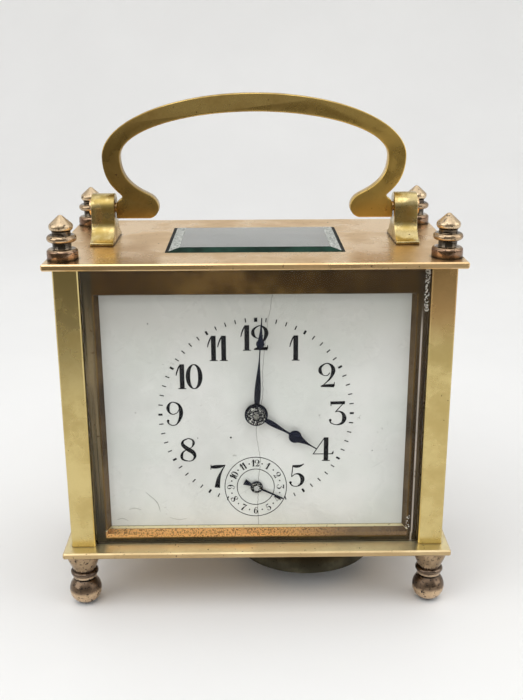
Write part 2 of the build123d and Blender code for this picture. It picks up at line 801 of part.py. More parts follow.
def handle():
    """The flat folding handle: an arch that sweeps in to two scrolled lugs."""
    pivot_z = top + handle_pivot_height
    spring_z = pivot_z + handle_springing
    outer = handle_half_width
    inner = outer - handle_band
    crown = spring_z + handle_rise
    lug_x = outer - handle_lug_end
    low = pivot_z - handle_lug_drop
    cusp = (lug_x - handle_cusp[0], pivot_z + handle_cusp[1])
    heel = (lug_x - handle_lug_length, low)
    tongue = (heel[0] - handle_tongue[0], low + handle_tongue[1])
    belly = (heel[0] - handle_tongue_belly[0], low + handle_tongue_belly[1])
    notch = [(lug_x - inwards, pivot_z + up) for inwards, up in handle_notch]
    sweep_in = [(inner - inwards, spring_z - down) for inwards, down in handle_inner_sweep]
    sweep_out = (outer - handle_outer_sweep[0], spring_z - handle_outer_sweep[1])
    edges = [
        EllipticalCenterArc((0, spring_z), outer, handle_rise, start_angle=0, arc_size=90),
        Line((0, crown), (0, crown - handle_band)),
        EllipticalCenterArc((0, spring_z), inner, handle_rise - handle_band, start_angle=0, arc_size=90),
        Spline([(inner, spring_z), *sweep_in, tongue], tangents=[(0, -1), (-0.5, -1)]),
        ThreePointArc(tongue, belly, heel),
        Polyline(heel, (lug_x, low), (lug_x, low + handle_lug_cheek), *notch, cusp),
        Spline([(outer, spring_z), sweep_out, cusp], tangents=[(0, -1), (-1, -0.9)]),
    ]
    half = extrude(facing(0, handle_thickness / 2, 0) * make_face(edges), amount=handle_thickness)
    body = half + mirror(half, Plane.YZ)
    for side in (-1, 1):
        near, far = sorted((side * (lug_x - handle_pin_reach - past), side * (lug_x + past)))
        body -= bar_x(near, far, handle_pin_radius + running_gap)
    return body


def bar_x(x0, x1, radius):
    """A round bar on the handle's pivot axis."""
    plane = Plane(origin=(x0, 0, top + handle_pivot_height), z_dir=(1, 0, 0))
    return extrude(plane * Circle(radius), amount=x1 - x0)


def handle_stand(side):
    """A shaped stand that carries one end of the handle."""
    near = handle_half_width - handle_lug_end + free_gap
    shape = make_face([
        Line((-stand_toe, 0), (stand_toe, 0)),
        Line((stand_toe, 0), (stand_toe, stand_toe_height)),
        Spline([(stand_toe, stand_toe_height), stand_flare, (stand_cap_radius, stand_shoulder)],
               tangents=[(-1, 0.1), (-0.1, 1)]),
        Line((stand_cap_radius, stand_shoulder), (stand_cap_radius, handle_pivot_height)),
        ThreePointArc((stand_cap_radius, handle_pivot_height), (0, handle_pivot_height + stand_cap_radius),
                      (-stand_cap_radius, handle_pivot_height)),
        Line((-stand_cap_radius, handle_pivot_height), (-stand_cap_radius, stand_shoulder)),
        Spline([(-stand_cap_radius, stand_shoulder), (-stand_flare[0], stand_flare[1]),
                (-stand_toe, stand_toe_height)],
               tangents=[(-0.1, -1), (-1, -0.1)]),
        Line((-stand_toe, stand_toe_height), (-stand_toe, 0)),
    ])
    plane = Plane(origin=(side * near, 0, top), x_dir=(0, side, 0), z_dir=(side, 0, 0))
    body = extrude(plane * shape, amount=stand_width)
    x0, x1 = sorted((side * (near - past), side * (near + stand_width + past)))
    return body - bar_x(x0, x1, handle_pin_radius + press_gap)


def handle_pins():
    """The two slotted pins that the handle turns on, as separate solids."""
    pins = []
    lug_x = handle_half_width - handle_lug_end
    face = lug_x + free_gap + stand_width
    for side in (-1, 1):
        x0, x1 = sorted((side * (lug_x - handle_pin_reach), side * face))
        pin = bar_x(x0, x1, handle_pin_radius)
        h0, h1 = sorted((side * face, side * (face + handle_pin_head_height)))
        pin += bar_x(h0, h1, handle_pin_head_radius)
        end = face + handle_pin_head_height
        s0, s1 = sorted((side * (end - handle_pin_slot_depth), side * end))
        pivot_z = top + handle_pivot_height
        pins.append(pin - block(s0, s1, -handle_pin_head_radius, handle_pin_head_radius,
                                pivot_z - screw_slot / 2, pivot_z + screw_slot / 2))
    return Compound(children=pins)


# Rear door

def door_frame():
    """The rear door's frame, round on its hinge side, with a pin at each end of the hinge."""
    low = deck + door_end_gap
    high = pillar_top - door_end_gap
    front = door_back - door_thickness
    frame = block(-door_right, door_axis_x, front, door_back, low, high)
    frame += post(door_axis_x, door_axis_y, door_thickness / 2, low, high)
    hole = door_right - door_bar
    frame -= block(-hole, hole, front - past, door_back + past, low + door_bar, high - door_bar)
    bite = hole + door_glass_bite
    groove_front = front + (door_thickness - glass_thickness) / 2
    frame -= block(-bite, bite, groove_front, groove_front + glass_thickness,
                   low + door_bar - door_glass_bite, high - door_bar + door_glass_bite)
    pin_low = low - door_pin_length
    frame += post(door_axis_x, door_axis_y, door_pin_radius, pin_low, low)
    frame += post(door_axis_x, door_axis_y, door_pin_radius, high, high + door_pin_length)
    knob_hole = door_knob_neck / 2 + fit_gap
    return frame - rod(-door_right + door_bar / 2, hub_z, knob_hole, front - past, door_back + past)


def door_glass():
    """The pane of the rear door, held in the frame's groove."""
    hole = door_right - door_bar
    width = 2 * (hole + door_glass_bite - fit_gap)
    height = pillar_length - 2 * (door_end_gap + door_bar - door_glass_bite + fit_gap)
    groove_front = door_back - door_thickness + (door_thickness - glass_thickness) / 2
    thickness = glass_thickness - 2 * fit_gap
    plane = Plane(origin=(0, groove_front + fit_gap, deck + pillar_length / 2),
                  x_dir=(-1, 0, 0), z_dir=(0, 1, 0))
    return plane * bevelled_pane(width, height, thickness - glass_bevel_depth, glass_bevel_depth,
                                 door_glass_bite - fit_gap + glass_bevel_start, glass_bevel_width)


def door_knob():
    """The small turned knob on the free side of the door."""
    neck = door_knob_neck / 2
    low = door_knob_shank_gap - door_thickness
    waist = (door_knob_neck, door_knob_length * door_knob_waist)
    curve = Polyline((0, low), (neck, low), (neck, 0), (door_knob_neck, 0), waist)
    curve += ThreePointArc(waist, (door_knob_radius, door_knob_length * door_knob_widest),
                           (door_knob_neck, door_knob_length))
    curve += Polyline((door_knob_neck, door_knob_length), (0, door_knob_length), (0, low))
    knob = revolve(make_face(Plane.XZ * curve), Axis.Z)
    return Pos(-door_right + door_bar / 2, door_back, hub_z) * Rot(-90, 0, 0) * knob


# Movement frame

def plate_holes(y_front, y_back):
    """Everything that is drilled through both movement plates."""
    holes = []
    centres = (third_centre, contrate_centre, strike_centre, hammer_pivot)
    for x, z in centres:
        holes.append(rod(x, z, pivot_radius + running_gap, y_front, y_back))
    holes.append(rod(0, hub_z, centre_arbor_radius + running_gap, y_front, y_back))
    holes.append(rod(0, alarm_z, arbor_radius + running_gap, y_front, y_back))
    for x, z in (barrel_centre, alarm_barrel_centre):
        holes.append(rod(x, z, winding_arbor_radius + running_gap, y_front, y_back))
    return holes


def movement_plate_blank(y_front, y_back):
    """One drilled plate of the movement, standing on the base."""
    body = block(-movement_half_width, movement_half_width, y_front, y_back, deck, platform_bottom)
    body = chamfer(body.edges().filter_by(Axis.Y), movement_corner)
    for hole in plate_holes(y_front - past, y_back + past):
        body -= hole
    return body


def movement_front_plate():
    """The front plate, with its four pillars, the stud of the minute wheel and the dial's holes."""
    plate = movement_plate_blank(movement_front, plate_inside_front)
    for side in (-1, 1):
        plate -= rod(side * dial_foot_x, hub_z, dial_foot_radius + fit_gap, movement_front - past,
                     plate_inside_front + past)
        for height in (movement_pillar_low, movement_pillar_high):
            x = side * movement_pillar_x
            z = deck + height
            bar = rod(x, z, movement_pillar_radius, plate_inside_front, plate_inside_back)
            collar = movement_pillar_radius + movement_collar_rise
            bar += rod(x, z, collar, plate_inside_front, plate_inside_front + movement_collar_length)
            bar += rod(x, z, collar, plate_inside_back - movement_collar_length, plate_inside_back)
            bar -= rod(x, z, screw_radius, plate_inside_back - screw_length, plate_inside_back + past)
            plate += bar
        plate -= post(side * movement_pillar_x, base_screw_y, screw_radius, deck - past,
                      foot_height + screw_length + free_gap)
    return plate + rod(minute_centre[0], minute_centre[1], arbor_radius,
                       dial_back + minute_stud_gap, movement_front)


def movement_back_plate():
    """The back plate, with screw holes at the pillars and a stud for each click."""
    plate = movement_plate_blank(plate_inside_back, movement_back)
    for side in (-1, 1):
        for height in (movement_pillar_low, movement_pillar_high):
            plate -= rod(side * movement_pillar_x, deck + height, screw_radius, plate_inside_back - past,
                         movement_back + past)
    for centre in (barrel_centre, alarm_barrel_centre):
        x, z = click_pivot(centre)
        plate += rod(x, z, click_pin_radius,
                     movement_back, movement_back + free_gap + ratchet_width + click_pin_proud)
    return plate


def click_pivot(centre):
    """Where a click turns, beside its ratchet wheel."""
    return (centre[0] + ratchet_radius + click_offset, centre[1] - click_length)


def movement_screws():
    """Four screws of the back plate and two that hold the movement to the base."""
    screws = []
    for side in (-1, 1):
        screws.append(screw_up(side * movement_pillar_x, base_screw_y, foot_height))
        for height in (movement_pillar_low, movement_pillar_high):
            screws.append(screw_forward(side * movement_pillar_x, deck + height))
    return Compound(children=screws)


# Going train

def barrel_shape(centre, teeth, module, phase, tooth_front, tooth_width, drum_radius, drum_back):
    """A closed drum with a toothed front, hollow for its spring and bored for its arbor."""
    x, z = centre
    body = slab(toothed(teeth, module, phase), x, z, tooth_front, tooth_front + tooth_width)
    body += rod(x, z, drum_radius, tooth_front + tooth_width, drum_back)
    body -= rod(x, z, drum_radius - barrel_wall, tooth_front + tooth_width, drum_back - barrel_wall)
    return body - rod(x, z, winding_arbor_radius + running_gap, tooth_front - past, drum_back + past)


def barrel():
    """The mainspring barrel."""
    return barrel_shape(barrel_centre, barrel_teeth, barrel_module, barrel_phase, barrel_front,
                        barrel_tooth_width, barrel_drum_radius, barrel_drum_back)


def mainspring():
    """The mainspring, coiled inside the barrel with its ends just clear of the arbor and the wall."""
    front = barrel_front + barrel_tooth_width + free_gap
    back = barrel_drum_back - barrel_wall - free_gap
    band = spiral(spring_strip, spring_inner, spring_pitch, spring_arc_count)
    return slab(band, barrel_centre[0], barrel_centre[1], front, back)


def winding_shaft(centre, front):
    """An arbor that runs in both plates and ends in a square behind the back plate."""
    x, z = centre
    shaft = rod(x, z, winding_arbor_radius, front, movement_back + free_gap + ratchet_width)
    square_start = movement_back + free_gap + ratchet_width
    shaft += slab(Rectangle(winding_square, winding_square), x, z, square_start, movement_back + square_reach)
    return shaft


def winding_arbor():
    """The arbor of the mainspring barrel."""
    return winding_shaft(barrel_centre, movement_front + end_shake)


def ratchet_wheel():
    """The ratchet wheel of the mainspring, on its arbor behind the back plate."""
    outline = sawtoothed(ratchet_teeth, ratchet_radius, ratchet_root)
    outline -= Circle(winding_arbor_radius + press_gap)
    front = movement_back + free_gap
    return slab(outline, barrel_centre[0], barrel_centre[1], front, front + ratchet_width)


def click_shape(centre):
    """A pawl on its stud, with its nose just clear of the ratchet's teeth."""
    x, z = click_pivot(centre)
    nose_x = centre[0] + ratchet_radius + free_gap - x
    arm = Polygon((click_boss_radius * click_shoulders[0], 0), (nose_x + click_nose, click_length),
                  (nose_x, click_length), (-click_boss_radius * click_shoulders[1], 0), align=None)
    outline = arm + Circle(click_boss_radius) - Circle(click_pin_radius + running_gap)
    front = movement_back + free_gap
    return slab(outline, x, z, front, front + ratchet_width)


def centre_arbor():
    """The arbor that turns the hands, with a square at the back to set them."""
    tail = movement_back + free_gap
    shaft = rod(0, hub_z, centre_arbor_radius, minute_hand_layer - hand_nut_reach, tail)
    shaft += slab(Rectangle(setting_square * 2 ** 0.5, setting_square * 2 ** 0.5), 0, hub_z, tail,
                  movement_back + square_reach)
    return shaft


def wheel_on_pinion(centre, pinion, pinion_front, pinion_back, wheel, wheel_front, wheel_back):
    """A wheel and its pinion on a pivoted arbor."""
    x, z = centre
    body = pivoted(x, z, arbor_radius)
    body += slab(pinion, x, z, pinion_front, pinion_back)
    return body + slab(wheel, x, z, wheel_front, wheel_back)


def centre_wheel():
    """The centre wheel and pinion on a pipe, which grips the centre arbor by friction."""
    pipe_front = plate_inside_front + free_gap
    body = rod(0, hub_z, centre_arbor_radius + centre_pipe_wall, pipe_front, plate_inside_back - free_gap)
    pinion = toothed(centre_leaves, barrel_module, centre_phase, thin=True)
    body += slab(pinion, 0, hub_z, barrel_front - free_gap, barrel_front + barrel_tooth_width + free_gap)
    outline = toothed(centre_teeth, barrel_module, centre_phase)
    outline = crossed(outline, centre_teeth * barrel_module / 2, centre_crossing)
    body += slab(outline, 0, hub_z, centre_wheel_front, centre_wheel_front + centre_wheel_width)
    return body - rod(0, hub_z, centre_arbor_radius + running_gap, pipe_front - past, plate_inside_back)


def third_wheel():
    """The third wheel and pinion."""
    outline = toothed(third_teeth, third_module, third_phase)
    outline = crossed(outline, third_teeth * third_module / 2, third_crossing)
    pinion = toothed(third_leaves, barrel_module, third_phase, thin=True)
    return wheel_on_pinion(third_centre, pinion, centre_wheel_front - free_gap,
                           centre_wheel_front + centre_wheel_width + free_gap,
                           outline, third_wheel_front, third_wheel_front + third_wheel_width)


def contrate_wheel():
    """The contrate wheel, whose crown teeth point backwards and turn the upright escape pinion."""
    back = contrate_front + contrate_disc
    disc = crossed(Circle(crown_radius), crown_radius, contrate_crossing)
    pinion = toothed(contrate_leaves, third_module, contrate_phase, thin=True)
    body = wheel_on_pinion(contrate_centre, pinion, third_wheel_front - free_gap,
                           third_wheel_front + third_wheel_width + free_gap, disc, contrate_front, back)
    half = crown_tooth_half * crown_pitch
    inner = crown_radius - crown_tooth_length
    outer = crown_radius - crown_inset
    tooth = Polygon((inner, -half), (outer, -half), (outer, half), (inner, half), align=None)
    crown = [Rot(0, 0, 90 + index * 360 / crown_teeth) * tooth for index in range(crown_teeth)]
    teeth = slab(Sketch(children=crown), contrate_centre[0], contrate_centre[1], back, crown_tip)
    return body + teeth


# Platform escapement

def platform():
    """The platform on top of the plates, with the bridge and the cock of the escape wheel."""
    body = block(-platform_half_width, platform_half_width, movement_front, movement_back,
                 platform_bottom, platform_top)
    body -= post(escape_x, escape_y, escape_tip_radius + free_gap,
                 platform_bottom - past, platform_top + past)
    body -= post(lever_x, escape_y, pivot_radius + running_gap, platform_bottom - past, platform_top + past)
    body -= post(balance_x, escape_y, pivot_radius + running_gap, platform_bottom - past, platform_top + past)
    foot_z = bracket_foot()
    arm_front, arm_back = (escape_y + reach for reach in bracket_arm)
    half = bracket_width / 2
    body += block(escape_x - half, escape_x + half, arm_front, arm_back, foot_z, platform_bottom)
    body += block(escape_x - half, escape_x + half, escape_y - bracket_front, arm_front,
                  foot_z, foot_z + bracket_thickness)
    fine_hole = fine_pivot_radius + running_gap
    body -= post(escape_x, escape_y, fine_hole, foot_z - past, foot_z + bracket_thickness + past)
    low = platform_top + escape_height + escape_thickness + free_gap
    high = low + bridge_thickness
    x = escape_x + escape_radius + bridge_gap
    body += block(x, x + bridge_post, escape_y - bridge_post_width / 2, escape_y + bridge_post_width / 2,
                  platform_top, high)
    body += block(lever_x - bridge_reach, x, escape_y - bridge_width / 2, escape_y + bridge_width / 2,
                  low, high)
    for x in (escape_x, lever_x):
        body -= post(x, escape_y, fine_hole, low - fit_gap, high + past)
    return body


def bracket_foot():
    """The height of the bracket that carries the foot of the escape arbor, behind the contrate wheel."""
    return contrate_centre[1] + crown_radius - bracket_rise


def escape_wheel():
    """The escape wheel on its upright arbor, with its pinion below the platform."""
    foot_z = bracket_foot()
    low = platform_top + escape_height
    bridge = low + escape_thickness + free_gap
    body = Pos(escape_x, escape_y, low) * extrude(
        crossed(sawtoothed(escape_teeth, escape_radius, escape_root), escape_root, escape_crossing),
        amount=escape_thickness)
    body += post(escape_x, escape_y, pivot_radius, foot_z + bracket_thickness + end_shake, bridge - end_shake)
    body += post(escape_x, escape_y, fine_pivot_radius, foot_z + end_shake, bridge + fine_pivot_reach)
    leaf_phase = -90 + 180 / escape_leaves
    leaves = escape_pinion(leaf_phase)
    pinion_low = contrate_centre[1] + crown_radius - escape_pinion_drop
    return body + Pos(escape_x, escape_y, pinion_low) * extrude(leaves, amount=platform_bottom - pinion_low)


def escape_pinion(phase):
    """The outline of the escape pinion: thin leaves on a core."""
    outline = Circle(escape_pinion_radius - escape_core)
    half = escape_leaf_half * crown_pitch
    tip = half * escape_leaf_taper
    for index in range(escape_leaves):
        leaf = Polygon((0, -half), (escape_tip_radius, -tip), (escape_tip_radius, tip), (0, half), align=None)
        outline += Rot(0, 0, phase + index * 360 / escape_leaves) * leaf
    return outline


def pallet_lever():
    """The lever, with two pallets beside the escape wheel and a fork beside the balance staff."""
    low = platform_top + escape_height
    wheel_gap = lever_distance - escape_radius - free_gap
    tail = balance_distance - lever_fork_gap - lever_tail_start
    outline = Rectangle(*lever_body) + Rectangle(*pallet_bar)
    outline += Pos(-lever_tail_start - tail / 2, 0) * Rectangle(tail, lever_tail_width)
    for side in (-1, 1):
        pallet = Rectangle(wheel_gap + pallet_overlap, pallet_width)
        outline += Pos((wheel_gap - pallet_overlap) / 2, side * pallet_height) * pallet
    body = Pos(lever_x, escape_y, low) * extrude(outline, amount=escape_thickness)
    top_pivot = low + escape_thickness + free_gap + fine_pivot_reach
    body += post(lever_x, escape_y, pivot_radius,
                 platform_top + end_shake, low + escape_thickness + end_shake)
    return body + post(lever_x, escape_y, fine_pivot_radius, platform_bottom + fine_shake, top_pivot)


def balance():
    """The balance: a rim with two arms, on a staff with its roller."""
    low = platform_top + balance_height
    rim = crossed(Circle(balance_radius), balance_radius, balance_crossing)
    body = Pos(balance_x, escape_y, low) * extrude(rim, amount=balance_thickness)
    cock_low = platform_top + cock_height
    body += post(balance_x, escape_y, pivot_radius, platform_top + end_shake, cock_low - end_shake)
    body += post(balance_x, escape_y, fine_pivot_radius, platform_bottom + fine_shake,
                 cock_low + cock_thickness - fine_shake)
    return body + post(balance_x, escape_y, roller_radius, low - roller_height, low)


def hairspring():
    """The hairspring, from a collet at the balance staff to the stud under the cock."""
    low = platform_top + hairspring_height
    band = spiral(hairspring_strip, hairspring_inner, hairspring_pitch, hairspring_arc_count)
    collet = Circle(hairspring_inner + running_gap) - Circle(pivot_radius + running_gap)
    stud = post(balance_x - hairspring_end(), escape_y, hairspring_stud_radius,
                low, platform_top + cock_height)
    return Pos(balance_x, escape_y, low) * extrude(band + collet, amount=hairspring_width) + stud


def hairspring_end():
    """How far the hairspring's outer end lies from the balance staff."""
    return hairspring_inner + hairspring_arc_count * hairspring_pitch / 2


def balance_cock():
    """The cock that carries the top of the balance staff, screwed to the platform behind the balance."""
    low = platform_top + cock_height
    half = cock_width / 2
    high = low + cock_thickness
    back = escape_y + balance_radius + cock_gap
    body = block(balance_x - half, balance_x + half, back, back + cock_foot, platform_top, high)
    arm = post(balance_x, escape_y, cock_eye_radius, low, high)
    arm += block(balance_x - cock_arm_width / 2, balance_x + cock_arm_width / 2, escape_y, back, low, high)
    beyond, half_width = cock_stud_arm
    arm += block(balance_x - hairspring_end() - beyond, balance_x,
                 escape_y - half_width, escape_y + half_width, low, high)
    return body + arm - post(balance_x, escape_y, fine_pivot_radius + running_gap, low - past, high + past)


# Motion work and hands

def cannon_pinion():
    """The cannon pinion, tight on the centre arbor, which carries the minute hand."""
    body = rod(0, hub_z, cannon_radius, minute_hand_layer + hand_thickness, movement_front - fit_gap)
    leaves = toothed(cannon_leaves, minute_module, cannon_phase, thin=True)
    body += slab(leaves, 0, hub_z, minute_layer - pinion_margin,
                 minute_layer + minute_width + pinion_margin)
    return body - rod(0, hub_z, centre_arbor_radius + press_gap, minute_hand_layer - past, movement_front)


def minute_wheel():
    """The minute wheel and its pinion, which turn on a stud of the front plate."""
    x, z = minute_centre
    outline = crossed(toothed(minute_teeth, minute_module, minute_phase), minute_teeth * minute_module / 2,
                      minute_crossing)
    body = slab(outline, x, z, minute_layer, minute_layer + minute_width)
    pinion = toothed(minute_leaves, hour_module, minute_phase, thin=True)
    body += slab(pinion, x, z, hour_layer - pinion_margin, minute_layer)
    return body - rod(x, z, arbor_radius + running_gap, hour_layer - past, minute_layer + minute_width + past)


def hour_wheel():
    """The hour wheel on its pipe, which turns round the cannon pinion and carries the hour hand."""
    outline = crossed(toothed(hour_teeth, hour_module, hour_phase), hour_teeth * hour_module / 2,
                      hour_crossing)
    body = slab(outline, 0, hub_z, hour_layer, hour_layer + hour_width)
    body += rod(0, hub_z, hour_pipe_radius, hour_hand_layer, hour_layer + hour_width)
    return body - rod(0, hub_z, cannon_radius + running_gap,
                      hour_hand_layer - past, hour_layer + hour_width + past)


def alarm_hour_wheel():
    """The twelve-hour wheel of the alarm, loose on the alarm arbor and level with the hour wheel."""
    outline = crossed(toothed(hour_teeth, hour_module, alarm_phase), hour_teeth * hour_module / 2,
                      alarm_hour_crossing)
    body = slab(outline, 0, alarm_z, hour_layer, hour_layer + hour_width)
    body += rod(0, alarm_z, arbor_radius + alarm_pipe_wall, hour_layer + hour_width, minute_layer)
    return body - rod(0, alarm_z, arbor_radius + running_gap, hour_layer - past, minute_layer + past)


def alarm_set_arbor():
    """The arbor that sets the alarm, with its notched cam and a square at the back."""
    tail = movement_back + free_gap
    shaft = rod(0, alarm_z, arbor_radius, alarm_hand_layer - alarm_arbor_reach, tail)
    cam = Circle(cam_radius) - Pos(0, cam_radius) * Rectangle(*alarm_cam_notch)
    cam_front, cam_back = (minute_layer + depth for depth in alarm_cam_layer)
    shaft += slab(cam, 0, alarm_z, cam_front, cam_back)
    side = arbor_radius * 2 ** 0.5
    return shaft + slab(Rectangle(side, side), 0, alarm_z, tail, movement_back + square_reach)


def minute_hand():
    """The minute hand, on the end of the cannon pinion."""
    outline = hand(minute_leaf_near, minute_leaf_far, minute_hand_length, minute_bulb, minute_collet_radius,
                   centre_arbor_radius + press_gap, minute_hand_angle)
    return slab(outline, 0, hub_z, minute_hand_layer, minute_hand_layer + hand_thickness)


def hour_hand():
    """The hour hand, on the end of the hour wheel's pipe."""
    outline = hand(hour_leaf_near, hour_leaf_far, hour_hand_length, hour_bulb, hour_collet_radius,
                   hour_pipe_radius + press_gap, hour_hand_angle)
    return slab(outline, 0, hub_z, hour_hand_layer, hour_hand_layer + hand_thickness)


def alarm_hand():
    """The alarm hand, with an arrowhead tail."""
    base, tip = alarm_needle
    needle = Polygon((base, 0), (tip, alarm_hand_length), (-tip, alarm_hand_length), (-base, 0), align=None)
    (near, narrow), (end, wide) = alarm_tail
    tail = Polygon((-narrow, -near), (-wide, -end), (wide, -end), (narrow, -near), align=None)
    outline = Circle(alarm_collet_radius) + needle + tail - Circle(arbor_radius + press_gap)
    outline = Rot(0, 0, -alarm_hand_angle) * outline
    return slab(outline, 0, alarm_z, alarm_hand_layer, alarm_hand_layer + hand_thickness)


# Alarm train, hammer and bell

def alarm_barrel():
    """The alarm's spring barrel."""
    return barrel_shape(alarm_barrel_centre, alarm_barrel_teeth, alarm_module, 0.0, barrel_front,
                        alarm_tooth_width, alarm_drum_radius, alarm_drum_back)


def alarm_winding_arbor():
    """The alarm's winding arbor, made in one with its ratchet wheel."""
    x, z = alarm_barrel_centre
    front = movement_back + free_gap
    ratchet = slab(sawtoothed(ratchet_teeth, ratchet_radius, ratchet_root), x, z,
                   front, front + ratchet_width)
    return winding_shaft(alarm_barrel_centre, movement_front + end_shake) + ratchet


def alarm_strike_wheel():
    """The pointed wheel that throws the hammer to and fro, with its pinion."""
    pinion = toothed(strike_leaves, alarm_module, strike_phase, thin=True)
    wheel = sawtoothed(strike_teeth, strike_radius, strike_root)
    return wheel_on_pinion(strike_centre, pinion, barrel_front - free_gap,
                           barrel_front + alarm_tooth_width + free_gap,
                           wheel, strike_front, strike_front + strike_width)


def hammer():
    """The hammer: an arbor with a pallet arm, and a rod down through the base to the head beside the bell."""
    x, z = hammer_pivot
    body = pivoted(x, z, arbor_radius)
    arm = Pos(hammer_pallet_reach / 2, 0) * Rectangle(hammer_pallet_reach, hammer_arm_width)
    arm += Pos(hammer_pallet_reach - hammer_pallet[0] / 2, 0) * Rectangle(*hammer_pallet)
    body += slab(arm, x, z, strike_front, strike_front + strike_width)
    body += rod(x, z, arbor_radius + hammer_boss_wall, -hammer_boss_half, hammer_boss_half)
    head = Pos(hammer_head_x, 0, bell_level) * Sphere(hammer_head_radius)
    body += post(x, 0, hammer_arm_radius, bell_level, z)
    return body + head


bell_half_at_hammer = bell_radius * (1 - ((bell_rim - hammer_level) / (bell_rim - bell_crown)) ** 2) ** 0.5
hammer_head_x = bell_x - bell_half_at_hammer - hammer_rest_gap - hammer_head_radius


def bell():
    """A shallow bell that hangs mouth down under the base."""
    rise = bell_rim - bell_crown
    seat = rise * (1 - (bell_post_radius / bell_radius) ** 2) ** 0.5
    hole = bell_stud_radius + fit_gap
    outer = EllipticalCenterArc((0, 0), bell_radius, rise, start_angle=0, arc_size=90)
    inner = EllipticalCenterArc((0, 0), bell_radius - bell_wall, rise - bell_wall, start_angle=0, arc_size=90)
    section = make_face([outer, inner, Line((bell_radius - bell_wall, 0), (bell_radius, 0)),
                         Line((0, rise - bell_wall), (0, rise))])
    dome = Pos(bell_x, 0, deck - bell_rim) * revolve(Plane.XZ * section, Axis.Z)
    dome -= post(bell_x, 0, bell_post_radius + bell_post_gap, deck - bell_rim + seat, deck)
    return dome - post(bell_x, 0, hole, deck - bell_rim, deck)


def bell_post():
    """The bell's post: a collar under the base, a stud through both, and its nuts."""
    rise = bell_rim - bell_crown
    seat = deck - bell_rim + rise * (1 - (bell_post_radius / bell_radius) ** 2) ** 0.5
    nut_share = bell_nut_radius / (bell_radius - bell_wall)
    inside = deck - bell_rim + (rise - bell_wall) * (1 - nut_share ** 2) ** 0.5
    body = post(bell_x, 0, bell_post_radius, seat, foot_height)
    body += post(bell_x, 0, bell_stud_radius, inside - bell_nut_height - bell_stud_spare,
                 deck + bell_nut_height)
    nut = RegularPolygon(bell_nut_radius, 6)
    body += Pos(bell_x, 0, inside - bell_nut_height) * extrude(nut, amount=bell_nut_height)
    return body + Pos(bell_x, 0, deck) * extrude(nut, amount=bell_nut_height - bell_nut_saving)


# Write every piece

for corner, sides in corners.items():
    save(pillar(*sides), "pillar_" + corner)
    save(foot(*sides), "foot_" + corner)
    save(finial(*sides), "finial_" + corner)

for word, side in (("left", -1), ("right", 1)):
    save(side_glass(side), "side_glass_" + word)
    save(handle_stand(side), "handle_stand_" + word)

save(click_shape(barrel_centre), "click")
save(click_shape(alarm_barrel_centre), "alarm_click")

for piece in (
    base_plate, top_plate, front_glass, top_glass, dial_mask, dial, handle, handle_pins, door_frame,
    door_glass, door_knob, movement_front_plate, movement_back_plate, movement_screws, barrel, mainspring,
    winding_arbor, ratchet_wheel, centre_arbor, centre_wheel, third_wheel, contrate_wheel, platform,
    escape_wheel, pallet_lever, balance, hairspring, balance_cock, cannon_pinion, minute_wheel, hour_wheel,
    alarm_hour_wheel, alarm_set_arbor, minute_hand, hour_hand, alarm_hand, alarm_barrel,
    alarm_winding_arbor, alarm_strike_wheel, hammer, bell, bell_post,
):
    save(piece(), piece.__name__)
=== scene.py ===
"""The looks of a brass carriage clock with an alarm: finishes, dial printing, small fittings, light and camera.

Metres. X is right, Y is back, Z is up. Every size below that is written in millimetres is named so.
"""
import logging
import math
import random
from dataclasses import dataclass, field
from enum import Enum

import bmesh
import bpy
from mathutils import Matrix, Vector


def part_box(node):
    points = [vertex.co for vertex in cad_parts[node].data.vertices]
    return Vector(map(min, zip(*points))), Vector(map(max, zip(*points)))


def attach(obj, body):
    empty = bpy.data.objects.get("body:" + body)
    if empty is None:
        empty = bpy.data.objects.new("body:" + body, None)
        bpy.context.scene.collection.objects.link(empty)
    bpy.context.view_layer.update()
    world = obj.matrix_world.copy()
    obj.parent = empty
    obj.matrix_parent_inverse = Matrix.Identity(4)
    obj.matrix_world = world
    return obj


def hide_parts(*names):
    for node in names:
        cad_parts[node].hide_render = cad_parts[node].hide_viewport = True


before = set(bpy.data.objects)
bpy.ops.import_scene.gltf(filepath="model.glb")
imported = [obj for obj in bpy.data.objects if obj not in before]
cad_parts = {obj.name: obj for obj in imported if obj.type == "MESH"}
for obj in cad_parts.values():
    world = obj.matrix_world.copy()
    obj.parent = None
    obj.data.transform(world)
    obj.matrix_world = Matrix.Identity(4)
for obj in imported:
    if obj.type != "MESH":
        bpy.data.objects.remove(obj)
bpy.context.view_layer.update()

log = logging.getLogger("carriage_clock")
MM = 0.001
Colour = tuple[float, float, float]
Stroke = tuple[tuple[float, float, float], ...]


class Body(Enum):
    """The moving bodies that the added pieces ride on."""

    CASE = "case"
    HANDLE = "handle"
    DOOR = "rear_door"
    HANDS = "hand_arbor"
    HOUR = "hour_wheel"
    ALARM = "alarm_set"


class Slot(Enum):
    """The record's material slots."""

    BRASS = "case_brass"
    GILT = "gilt_brass"
    STEEL = "steel"
    BLUED = "blued_steel"
    ENAMEL = "enamel"
    PLATFORM = "platform_steel"
    GLASS = "glass"


# Shader graphs

